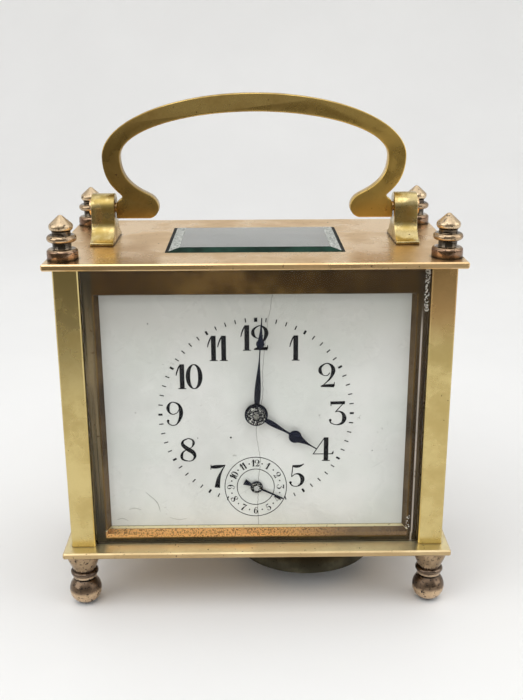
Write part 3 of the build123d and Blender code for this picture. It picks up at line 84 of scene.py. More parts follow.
class Graph:
    """A shader node tree with short ways to add and join its nodes."""

    def __init__(self, tree: bpy.types.NodeTree) -> None:
        """Wrap a tree.

        Args:
            tree: the tree of a material, a world or a group.
        """
        self.tree = tree

    def add(self, kind: str, **settings: object) -> bpy.types.Node:
        """Add one node.

        Args:
            kind: the node's Blender type name.
            settings: attributes of the node, or values of its inputs by their names.

        Returns:
            The new node.
        """
        node = self.tree.nodes.new(kind)
        for name, value in settings.items():
            if hasattr(node, name):
                setattr(node, name, value)
            else:
                node.inputs[name.replace("_", " ")].default_value = value
        return node

    def join(self, source: bpy.types.NodeSocket, target: bpy.types.NodeSocket) -> None:
        """Link one socket to another."""
        self.tree.links.new(source, target)

    def noise(self, vector: bpy.types.NodeSocket, per_metre: float, detail: float = 4.0,
              roughness: float = 0.55) -> bpy.types.NodeSocket:
        """A noise pattern of some number of waves in a metre.

        Returns:
            The pattern, from 0 to 1.
        """
        node = self.add("ShaderNodeTexNoise", Scale=per_metre, Detail=detail, Roughness=roughness)
        self.join(vector, node.inputs["Vector"])
        return node.outputs["Fac"]

    def where(self) -> bpy.types.bpy_prop_collection:
        """The place on the object, axis by axis.

        Returns:
            The sockets X, Y and Z, in metres.
        """
        parts = self.add("ShaderNodeSeparateXYZ")
        self.join(self.add("ShaderNodeTexCoord").outputs["Object"], parts.inputs[0])
        return parts.outputs

    def ranged(self, value: bpy.types.NodeSocket, low: float, high: float, start: float = 0.0,
               end: float = 1.0) -> bpy.types.NodeSocket:
        """A value spread from one range to another, with soft ends.

        Returns:
            The spread value.
        """
        node = self.add("ShaderNodeMapRange", interpolation_type="SMOOTHSTEP")
        for name, number in (("From Min", low), ("From Max", high), ("To Min", start), ("To Max", end)):
            node.inputs[name].default_value = number
        self.join(value, node.inputs["Value"])
        return node.outputs["Result"]

    def rays(self, *kinds: str) -> bpy.types.NodeSocket:
        """Tell some kinds of ray from the others.

        Args:
            kinds: the rays' names, such as Camera.

        Returns:
            1 for any of those rays, otherwise 0.
        """
        path = self.add("ShaderNodeLightPath").outputs
        found = path[f"Is {kinds[0]} Ray"]
        for kind in kinds[1:]:
            found = self.sum("MAXIMUM", found, path[f"Is {kind} Ray"])
        return found

    def sum(self, kind: str, *values: object) -> bpy.types.NodeSocket:
        """A sum of one or two values.

        Args:
            kind: the operation's Blender name.
            values: sockets or numbers.

        Returns:
            The result.
        """
        node = self.add("ShaderNodeMath", operation=kind)
        for place, value in enumerate(values):
            if isinstance(value, (int, float)):
                node.inputs[place].default_value = value
            else:
                self.join(value, node.inputs[place])
        return node.outputs[0]

    def mix(self, factor: object, first: object, second: object) -> bpy.types.NodeSocket:
        """A blend of two colours.

        Args:
            factor: how much of the second, as a socket or a number.
            first: a colour or a socket.
            second: a colour or a socket.

        Returns:
            The blended colour.
        """
        node = self.add("ShaderNodeMix", data_type="RGBA")
        for socket, value in ((node.inputs[0], factor), (node.inputs[6], first), (node.inputs[7], second)):
            if isinstance(value, bpy.types.NodeSocket):
                self.join(value, socket)
            elif isinstance(value, tuple):
                socket.default_value = (*value, 1.0)
            else:
                socket.default_value = value
        return node.outputs[2]


class Effects:
    """The shader node groups that several finishes share."""

    def __init__(self) -> None:
        """Build each group once."""
        self.patina = self._patina()
        self.edge = self._edge()
        self.scratches = self._scratches()
        self.recess = self._recess()

    def _group(self, name: str, inputs: dict[str, float], outputs: tuple[str, ...]) -> tuple[Graph, dict, dict]:
        """Start a group.

        Args:
            name: the group's name.
            inputs: each number input with its usual value.
            outputs: the names of the number outputs.

        Returns:
            The graph, its input sockets and its output sockets, by name.
        """
        tree = bpy.data.node_groups.new(name, "ShaderNodeTree")
        for label, value in inputs.items():
            socket = tree.interface.new_socket(label, in_out="INPUT", socket_type="NodeSocketFloat")
            socket.default_value = value
        for label in outputs:
            tree.interface.new_socket(label, in_out="OUTPUT", socket_type="NodeSocketFloat")
        graph = Graph(tree)
        entry = graph.add("NodeGroupInput")
        leave = graph.add("NodeGroupOutput")
        return graph, entry.outputs, leave.inputs

    def _patina(self) -> bpy.types.NodeTree:
        """Clouds of tarnish, dark spots and a fine grain.

        Returns:
            The group, with the masks Cloud and Spots and the height Grain.
        """
        graph, given, out = self._group(
            "patina", {"Clouds": 60.0, "Speckles": 900.0, "Threshold": 0.62, "Grain": 3000.0},
            ("Cloud", "Spots", "Grain"))
        place = graph.add("ShaderNodeTexCoord").outputs["Object"]
        cloud = graph.add("ShaderNodeTexNoise", Detail=5.0, Roughness=0.62)
        spots = graph.add("ShaderNodeTexNoise", Detail=3.0, Roughness=0.7)
        grain = graph.add("ShaderNodeTexNoise", Detail=2.0, Roughness=0.6)
        for node, label in ((cloud, "Clouds"), (spots, "Speckles"), (grain, "Grain")):
            graph.join(place, node.inputs["Vector"])
            graph.join(given[label], node.inputs["Scale"])
        graph.join(graph.ranged(cloud.outputs["Fac"], 0.36, 0.66), out["Cloud"])
        above = graph.sum("SUBTRACT", spots.outputs["Fac"], given["Threshold"])
        graph.join(graph.ranged(above, 0.0, 0.06), out["Spots"])
        graph.join(grain.outputs["Fac"], out["Grain"])
        return graph.tree

    def _edge(self) -> bpy.types.NodeTree:
        """Where a surface turns within a small radius.

        Returns:
            The group, with the mask Edge.
        """
        graph, given, out = self._group("edge", {"Radius": 0.0005}, ("Edge",))
        bevel = graph.add("ShaderNodeBevel", samples=4)
        graph.join(given["Radius"], bevel.inputs["Radius"])
        plain = graph.add("ShaderNodeNewGeometry")
        dot = graph.add("ShaderNodeVectorMath", operation="DOT_PRODUCT")
        graph.join(bevel.outputs["Normal"], dot.inputs[0])
        graph.join(plain.outputs["Normal"], dot.inputs[1])
        turned = graph.sum("SUBTRACT", 1.0, dot.outputs["Value"])
        place = graph.add("ShaderNodeTexCoord").outputs["Object"]
        broken = graph.add("ShaderNodeTexNoise", Detail=3.0, Scale=400.0)
        graph.join(place, broken.inputs["Vector"])
        share = graph.ranged(broken.outputs["Fac"], 0.35, 0.6, 0.3, 1.0)
        worn = graph.sum("MULTIPLY", graph.ranged(turned, 0.01, 0.2), share)
        graph.join(worn, out["Edge"])
        return graph.tree

    def _scratches(self) -> bpy.types.NodeTree:
        """Fine scratches in one slanting direction.

        Returns:
            The group, with the mask Scratches.
        """
        graph, given, out = self._group("scratches", {"Turn": 0.6, "Density": 0.67}, ("Scratches",))
        place = graph.add("ShaderNodeTexCoord").outputs["Object"]
        turn = graph.add("ShaderNodeVectorRotate", rotation_type="Y_AXIS")
        graph.join(place, turn.inputs["Vector"])
        graph.join(given["Turn"], turn.inputs["Angle"])
        stretch = graph.add("ShaderNodeMapping")
        stretch.inputs["Scale"].default_value = (90.0, 900.0, 2600.0)
        graph.join(turn.outputs["Vector"], stretch.inputs["Vector"])
        lines = graph.add("ShaderNodeTexNoise", Scale=1.0, Detail=2.0)
        graph.join(stretch.outputs["Vector"], lines.inputs["Vector"])
        above = graph.sum("SUBTRACT", lines.outputs["Fac"], given["Density"])
        graph.join(graph.ranged(above, 0.0, 0.03), out["Scratches"])
        return graph.tree

    def _recess(self) -> bpy.types.NodeTree:
        """Where a surface is shut in, as in a turned neck.

        Returns:
            The group, with the mask Recess.
        """
        graph, given, out = self._group("recess", {"Reach": 0.0015}, ("Recess",))
        shade = graph.add("ShaderNodeAmbientOcclusion", samples=8)
        graph.join(given["Reach"], shade.inputs["Distance"])
        shut = graph.sum("SUBTRACT", 1.0, shade.outputs["AO"])
        graph.join(graph.ranged(shut, 0.08, 0.5), out["Recess"])
        return graph.tree


@dataclass(frozen=True)
class Metal:
    """A metal with clouds of tarnish, spots, worn edges and a fine grain."""

    name: str
    clean: Colour
    tarnish: Colour
    deep: Colour
    smooth: float = 0.18
    rough: float = 0.36
    clouds: float = 60.0
    speckles: float = 900.0
    spot_threshold: float = 0.64
    edge_mm: float = 0.4
    edge_share: float = 0.5
    bump: float = 0.04
    grain: float = 3000.0
    recess_mm: float = 0.0
    recess_share: float = 0.85

    def regions(self, graph: Graph, colour: bpy.types.NodeSocket) -> bpy.types.NodeSocket:
        """Recolour some parts of the surface; a plain metal has none.

        Returns:
            The colour.
        """
        return colour

    def build(self, effects: Effects) -> bpy.types.Material:
        """Make the material.

        Args:
            effects: the shared node groups.

        Returns:
            The material.
        """
        material = bpy.data.materials.new(self.name)
        material.use_nodes = True
        graph = Graph(material.node_tree)
        shader = material.node_tree.nodes["Principled BSDF"]
        patina = graph.add("ShaderNodeGroup", node_tree=effects.patina)
        for label, value in (("Clouds", self.clouds), ("Speckles", self.speckles),
                             ("Threshold", self.spot_threshold), ("Grain", self.grain)):
            patina.inputs[label].default_value = value
        edge = graph.add("ShaderNodeGroup", node_tree=effects.edge)
        edge.inputs["Radius"].default_value = self.edge_mm * MM
        bright = graph.sum("MULTIPLY", edge.outputs["Edge"], self.edge_share)
        colour = graph.mix(patina.outputs["Cloud"], self.clean, self.tarnish)
        colour = graph.mix(patina.outputs["Spots"], self.regions(graph, colour), self.deep)
        if self.recess_mm:
            recess = graph.add("ShaderNodeGroup", node_tree=effects.recess)
            recess.inputs["Reach"].default_value = self.recess_mm * MM
            shut = graph.sum("MULTIPLY", recess.outputs["Recess"], self.recess_share)
            colour = graph.mix(shut, colour, self.deep)
        colour = graph.mix(bright, colour, self.clean)
        rough = graph.ranged(patina.outputs["Cloud"], 0.0, 1.0, self.smooth, self.rough)
        rough = graph.sum("ADD", rough, graph.sum("MULTIPLY", patina.outputs["Spots"], 0.2))
        bump = graph.add("ShaderNodeBump", Strength=self.bump, Distance=0.0001)
        graph.join(patina.outputs["Grain"], bump.inputs["Height"])
        shader.inputs["Metallic"].default_value = 1.0
        graph.join(colour, shader.inputs["Base Color"])
        graph.join(rough, shader.inputs["Roughness"])
        graph.join(bump.outputs["Normal"], shader.inputs["Normal"])
        return material


@dataclass(frozen=True)
class MaskMetal(Metal):
    """The dial's mask: brown, with painted light: a coppery painted reflection of the floor and the dial on its foot,
    painted highlights on the lip of its opening and down its right side, and painted shade at its foot, its head, its
    upper ends and, streaked, along its outer edges.
    """

    # Coppery painted reflection of the floor and the dial, for the foot
    copper: Colour = (0.85, 0.46, 0.17)
    soot: Colour = (0.038, 0.031, 0.019)
    # Lighter streaks in the painted shade along the outer edges
    streak: Colour = (0.22, 0.165, 0.09)
    dull: Colour = (0.15, 0.115, 0.085)
    grit: Colour = (0.16, 0.075, 0.025)
    # Painted reflection of the glass edge, down the right side
    line: Colour = (0.62, 0.55, 0.47)
    # Deeper painted shade, at the upper ends and on the right edge
    dark: Colour = (0.035, 0.02, 0.009)
    dull_x_mm: tuple[float, float] = (2.0, 34.0)
    bar_mm: tuple[float, float] = (9.6, 8.6)
    bar_x_mm: tuple[float, float] = (10.0, 38.0)
    line_mm: tuple[float, float] = (1.45, 1.95)
    line_drop_mm: tuple[float, float] = (12.0, 22.0)
    grit_per_metre: float = 1900.0
    foot_z: float = 0.0
    head_z: float = 0.0
    half_x: float = 0.0
    # Painted highlight on the lip of the opening
    lip: Colour = (0.85, 0.76, 0.50)
    copper_mm: tuple[float, float] = (1.7, 3.75)
    lip_mm: tuple[float, float] = (3.86, 4.2)
    margin_mm: tuple[float, float] = (2.6, 3.4)
    head_mm: float = 4.0
    streak_reach: float = 0.5
    streak_per_metre: float = 900.0

    def regions(self, graph: Graph, colour: bpy.types.NodeSocket) -> bpy.types.NodeSocket:
        """Add the painted reflection, the painted highlights and the painted shade.

        Returns:
            The colour.
        """
        place = graph.where()
        up = graph.sum("SUBTRACT", place["Z"], self.foot_z)
        low, high = (edge * MM for edge in self.copper_mm)
        # Painted shade at the foot, where the mask meets the base plate
        colour = graph.mix(graph.ranged(up, low, low - 0.5 * MM), colour, self.soot)
        # The coppery band: a painted reflection of the floor and the dial, mottled with grit and duller to the right
        band = graph.sum("MULTIPLY", graph.ranged(up, low, low + 0.4 * MM), graph.ranged(up, high + 0.3 * MM, high))
        grain = graph.noise(graph.add("ShaderNodeTexCoord").outputs["Object"], self.grit_per_metre)
        copper = graph.mix(graph.ranged(grain, 0.50, 0.60, 0.0, 0.85), self.copper, self.grit)
        near, far = (edge * MM for edge in self.dull_x_mm)
        copper = graph.mix(graph.ranged(place["X"], near, far, 0.0, 0.85), copper, self.dull)
        colour = graph.mix(band, colour, copper)
        # A painted highlight on the lip of the opening, which faces up
        low, high = (edge * MM for edge in self.lip_mm)
        line = graph.sum("MULTIPLY", graph.ranged(up, low, low + 0.1 * MM), graph.ranged(up, high + 0.1 * MM, high))
        colour = graph.mix(line, colour, self.lip)
        # Painted shade at the head, in the top plate's shadow
        down = graph.sum("SUBTRACT", self.head_z, up)
        down = graph.sum("SUBTRACT", down, self.foot_z)
        colour = graph.mix(graph.ranged(down, self.head_mm * MM, 0.0, 0.0, 0.75), colour, self.soot)
        # Deeper painted shade on the upper ends, under the top plate
        out = graph.sum("ABSOLUTE", place["X"])
        near, far = (edge * MM for edge in self.bar_x_mm)
        low, high = (edge * MM for edge in self.bar_mm)
        ends = graph.sum("MULTIPLY", graph.ranged(out, near, far, 0.0, 0.8), graph.ranged(down, low, high))
        colour = graph.mix(ends, colour, self.dark)
        # Painted shade along the outer edges beside the pillars, streaked lighter about mid-height and deeper on the
        # right
        span = self.head_z - self.foot_z
        off = graph.sum("ABSOLUTE", graph.sum("SUBTRACT", up, span * 0.5))
        drawn = graph.add("ShaderNodeMapping")
        drawn.inputs["Scale"].default_value = (1.0, 0.0, 0.02)
        graph.join(graph.add("ShaderNodeTexCoord").outputs["Object"], drawn.inputs["Vector"])
        lines = graph.ranged(graph.noise(drawn.outputs["Vector"], self.streak_per_metre), 0.4, 0.62)
        lines = graph.sum("MULTIPLY", lines, graph.ranged(off, span * self.streak_reach, span * 0.15))
        margin = graph.mix(lines, self.soot, self.streak)
        margin = graph.mix(graph.ranged(place["X"], -MM, MM, 0.0, 0.75), margin, self.dark)
        inwards = graph.sum("SUBTRACT", self.half_x, out)
        near, far = (edge * MM for edge in self.margin_mm)
        colour = graph.mix(graph.ranged(inwards, far, near), colour, margin)
        # A painted reflection of the glass edge: a line down the right side
        near, far = (edge * MM for edge in self.line_mm)
        right = graph.sum("SUBTRACT", self.half_x, place["X"])
        line = graph.sum("MULTIPLY", graph.ranged(right, near, near + 0.15 * MM),
                         graph.ranged(right, far + 0.15 * MM, far))
        low, high = (edge * MM for edge in self.line_drop_mm)
        return graph.mix(graph.sum("MULTIPLY", line, graph.ranged(down, low, high, 0.0, 0.7)), colour, self.line)


@dataclass(frozen=True)
class TurnedMetal(Metal):
    """A turned part, recoloured band by band: tarnish and wear on its drums, rings and necks, and on a foot's ball a
    painted reflection, bright below and dark above.
    """

    base_z: float = 0.0
    bands_mm: tuple[tuple[float, float, float, Colour], ...] = ()
    soft_mm: float = 0.35

    def regions(self, graph: Graph, colour: bpy.types.NodeSocket) -> bpy.types.NodeSocket:
        """Recolour each band between two heights above the part's seat.

        Returns:
            The colour.
        """
        up = graph.sum("SUBTRACT", graph.where()["Z"], self.base_z)
        soft = self.soft_mm * MM
        for low, high, share, tone in self.bands_mm:
            rise = graph.ranged(up, low * MM - soft, low * MM + soft)
            fall = graph.ranged(up, high * MM + soft, high * MM - soft, 0.0, share)
            colour = graph.mix(graph.sum("MULTIPLY", rise, fall), colour, tone)
        return colour


@dataclass(frozen=True)
class SlabMetal(Metal):
    """A plate whose faces that don't look up are painted darker, as painted shade on its upright rim."""

    # The rim's painted shade
    rim: Colour = (0.5, 0.4, 0.2)

    def regions(self, graph: Graph, colour: bpy.types.NodeSocket) -> bpy.types.NodeSocket:
        """Paint shade on the faces that don't look up.

        Returns:
            The colour.
        """
        parts = graph.add("ShaderNodeSeparateXYZ")
        graph.join(graph.add("ShaderNodeNewGeometry").outputs["Normal"], parts.inputs[0])
        return graph.mix(graph.ranged(parts.outputs["Z"], 0.9, 0.6, 0.0, 0.85), colour, self.rim)


@dataclass(frozen=True)
class SidedMetal(Metal):
    """A metal that is darker to the left and more golden to the right."""

    left: Colour = (0.3, 0.2, 0.1)
    right: Colour = (0.7, 0.5, 0.2)
    left_mm: tuple[float, float] = (-22.0, -44.0)
    right_mm: tuple[float, float] = (8.0, 44.0)

    def regions(self, graph: Graph, colour: bpy.types.NodeSocket) -> bpy.types.NodeSocket:
        """Tint the two ends.

        Returns:
            The colour.
        """
        place = graph.where()["X"]
        for (near, far), tone in ((self.left_mm, self.left), (self.right_mm, self.right)):
            colour = graph.mix(graph.ranged(place, near * MM, far * MM, 0.0, 0.6), colour, tone)
        return colour


@dataclass(frozen=True)
class PillarMetal(Metal):
    """A pillar: dark on its inner side, and reddish at the head of the right ones."""

    inner_x: float = 0.0
    head_z: float = 0.0
    shade: Colour = (0.07, 0.055, 0.03)
    blush: Colour = (0.50, 0.29, 0.115)
    blush_mm: tuple[float, float] = (9.0, 25.0)

    def regions(self, graph: Graph, colour: bpy.types.NodeSocket) -> bpy.types.NodeSocket:
        """Shade the inner side and redden the right head.

        Returns:
            The colour.
        """
        place = graph.where()
        down = graph.sum("SUBTRACT", self.head_z, place["Z"])
        near, far = (edge * MM for edge in self.blush_mm)
        red = graph.sum("MULTIPLY", graph.ranged(down, far, near), graph.ranged(place["X"], -MM, MM, 0.0, 0.8))
        colour = graph.mix(red, colour, self.blush)
        out = graph.sum("ABSOLUTE", place["X"])
        inside = graph.ranged(out, self.inner_x + 0.12 * MM, self.inner_x + 0.03 * MM, 0.0, 0.9)
        return graph.mix(inside, colour, self.shade)


@dataclass(frozen=True)
class Enamel:
    """The white dial: a soft grey glaze with spots, fine scratches, one hairline crack, and a painted shadow of the
    mask and the top plate over its top.
    """

    name: str
    light: Colour
    dull: Colour
    stain: Colour
    crack_mm: tuple[tuple[float, float], ...]
    crack_half_mm: float
    crack_reach_mm: float = 8.0
    # A painted shadow of the mask and the top plate, darker towards the dial's top
    dim: Colour = (0.52, 0.52, 0.48)
    dim_z: tuple[float, float] = (0.070, 0.104)
    dim_share: float = 0.75

    def build(self, effects: Effects) -> bpy.types.Material:
        """Make the material.

        Args:
            effects: the shared node groups.

        Returns:
            The material.
        """
        material = bpy.data.materials.new(self.name)
        material.use_nodes = True
        graph = Graph(material.node_tree)
        shader = material.node_tree.nodes["Principled BSDF"]
        patina = graph.add("ShaderNodeGroup", node_tree=effects.patina)
        for label, value in (("Clouds", 38.0), ("Speckles", 420.0), ("Threshold", 0.69), ("Grain", 2500.0)):
            patina.inputs[label].default_value = value
        scratches = graph.add("ShaderNodeGroup", node_tree=effects.scratches)
        scratches.inputs["Density"].default_value = 0.71
        colour = graph.mix(patina.outputs["Cloud"], self.light, self.dull)
        faint = graph.sum("MULTIPLY", patina.outputs["Spots"], 0.45)
        colour = graph.mix(faint, colour, self.stain)
        fine = graph.sum("MULTIPLY", scratches.outputs["Scratches"], 0.3)
        colour = graph.mix(fine, colour, self.stain)
        # Painted shadow of the mask and the top plate over the dial's top
        colour = graph.mix(graph.ranged(graph.where()["Z"], *self.dim_z, 0.0, self.dim_share), colour, self.dim)
        colour = graph.mix(self._crack(graph), colour, self.stain)
        rough = graph.ranged(patina.outputs["Cloud"], 0.0, 1.0, 0.22, 0.34)
        bump = graph.add("ShaderNodeBump", Strength=0.03, Distance=0.0001)
        graph.join(patina.outputs["Grain"], bump.inputs["Height"])
        graph.join(colour, shader.inputs["Base Color"])
        graph.join(rough, shader.inputs["Roughness"])
        graph.join(bump.outputs["Normal"], shader.inputs["Normal"])
        return material

    def _crack(self, graph: Graph) -> bpy.types.NodeSocket:
        """The crack, which runs down the dial in a slow bend.

        Returns:
            The crack's mask.
        """
        place = graph.where()
        first, last = self.crack_mm[0][1] * MM, self.crack_mm[-1][1] * MM
        height = graph.add("ShaderNodeMapRange")
        height.inputs["From Min"].default_value = first
        height.inputs["From Max"].default_value = last
        graph.join(place["Z"], height.inputs["Value"])
        bend = graph.add("ShaderNodeFloatCurve")
        curve = bend.mapping.curves[0]
        spots = [((z * MM - first) / (last - first), 0.5 + x / self.crack_reach_mm / 2) for x, z in self.crack_mm]
        curve.points[0].location, curve.points[1].location = spots[0], spots[-1]
        for spot in spots[1:-1]:
            curve.points.new(*spot)
        bend.mapping.update()
        graph.join(height.outputs["Result"], bend.inputs["Value"])
        wander = graph.add("ShaderNodeTexNoise", noise_dimensions="1D", Scale=700.0, Detail=3.0)
        graph.join(place["Z"], wander.inputs["W"])
        wander = graph.sum("MULTIPLY", graph.sum("SUBTRACT", wander.outputs["Fac"], 0.5), 0.5 * MM)
        across = graph.sum("MULTIPLY", graph.sum("SUBTRACT", bend.outputs[0], 0.5), 2 * self.crack_reach_mm * MM)
        off = graph.sum("ABSOLUTE", graph.sum("SUBTRACT", place["X"], graph.sum("ADD", across, wander)))
        return graph.ranged(off, self.crack_half_mm * MM, 0.3 * self.crack_half_mm * MM, 0.0, 0.75)


@dataclass(frozen=True)
class Glass:
    """Clear glass with a little dust and smear, which lets the lamps' light through."""

    name: str
    tint: Colour
    body: Colour = (1.0, 1.0, 1.0)
    smear: float = 0.05
    gloss: float = 0.11
    clear: float = 1.0

    def build(self, effects: Effects) -> bpy.types.Material:
        """Make the material.

        Args:
            effects: the shared node groups.

        Returns:
            The material.
        """
        material = bpy.data.materials.new(self.name)
        material.use_nodes = True
        graph = Graph(material.node_tree)
        shader = material.node_tree.nodes["Principled BSDF"]
        shader.inputs["Transmission Weight"].default_value = self.clear
        shader.inputs["Specular Tint"].default_value = (self.gloss, self.gloss, self.gloss, 1.0)
        shader.inputs["IOR"].default_value = 1.5
        patina = graph.add("ShaderNodeGroup", node_tree=effects.patina)
        patina.inputs["Clouds"].default_value = 45.0
        patina.inputs["Threshold"].default_value = 0.72
        rough = graph.ranged(patina.outputs["Cloud"], 0.5, 1.0, 0.0, self.smear)
        rough = graph.sum("ADD", rough, graph.sum("MULTIPLY", patina.outputs["Spots"], 0.3))
        graph.join(rough, shader.inputs["Roughness"])
        colour = graph.mix(patina.outputs["Cloud"], self.body, self.tint)
        graph.join(colour, shader.inputs["Base Color"])
        clear = graph.add("ShaderNodeBsdfTransparent", Color=(*self.body, 1.0))
        through = graph.rays("Shadow", "Diffuse")
        mix = graph.add("ShaderNodeMixShader")
        graph.join(through, mix.inputs[0])
        graph.join(shader.outputs[0], mix.inputs[1])
        graph.join(clear.outputs[0], mix.inputs[2])
        graph.join(mix.outputs[0], material.node_tree.nodes["Material Output"].inputs["Surface"])
        return material


@dataclass(frozen=True)
class Ink:
    """A matt or glossy coat, a little worn: the dial's printing, chipped glass, bottle-green glass with painted
    shade, and painted shade in the gaps beside the top window.
    """

    name: str
    dark: Colour
    worn: Colour
    blend: float = 0.3
    clouds: float = 500.0
    shine: float = 0.5

    def build(self, effects: Effects) -> bpy.types.Material:
        """Make the material.

        Args:
            effects: the shared node groups.

        Returns:
            The material.
        """
        material = bpy.data.materials.new(self.name)
        material.use_nodes = True
        graph = Graph(material.node_tree)
        shader = material.node_tree.nodes["Principled BSDF"]
        patina = graph.add("ShaderNodeGroup", node_tree=effects.patina)
        patina.inputs["Clouds"].default_value = self.clouds
        patina.inputs["Threshold"].default_value = 0.66
        shader.inputs["Specular IOR Level"].default_value = self.shine
        colour = graph.mix(graph.sum("MULTIPLY", patina.outputs["Cloud"], self.blend), self.dark, self.worn)
        graph.join(colour, shader.inputs["Base Color"])
        rough = graph.ranged(patina.outputs["Cloud"], 0.0, 1.0, 0.35, 0.5)
        graph.join(rough, shader.inputs["Roughness"])
        return material


# The dial's crack, from its top to its foot: across and up
CRACK_MM = ((0.55, 27.3), (0.44, 30.5), (0.32, 33.6), (0.47, 37.2), (0.49, 41.7), (1.13, 47.0), (1.18, 50.0),
            (0.55, 54.0), (0.1, 57.5), (0.0, 60.3), (1.05, 66.0), (2.1, 71.8), (2.06, 75.5), (2.1, 79.1),
            (2.52, 85.0), (3.0, 89.2), (3.53, 94.0), (3.85, 96.8), (4.3, 98.5), (5.0, 103.8))


FINIAL_BANDS_MM = ((-1.0, 3.0, 0.75, (0.20, 0.105, 0.07)), (3.3, 5.3, 0.85, (0.085, 0.08, 0.07)),
                   (5.4, 7.1, 0.6, (0.36, 0.25, 0.155)), (7.3, 8.7, 0.8, (0.10, 0.075, 0.055)),
                   (8.9, 14.0, 0.65, (0.70, 0.54, 0.35)))
# Bands on the feet, above the floor: from, to, share and tone. The first two are a painted reflection on the ball,
# bright from the floor below and dark from the base plate above
FOOT_BANDS_MM = ((-1.0, 5.0, 0.7, (0.74, 0.54, 0.34)), (5.3, 9.4, 0.85, (0.11, 0.075, 0.05)),
                 (9.6, 10.5, 0.7, (0.62, 0.47, 0.32)), (10.7, 12.6, 0.8, (0.09, 0.065, 0.052)),
                 (13.0, 20.0, 0.65, (0.31, 0.22, 0.125)))


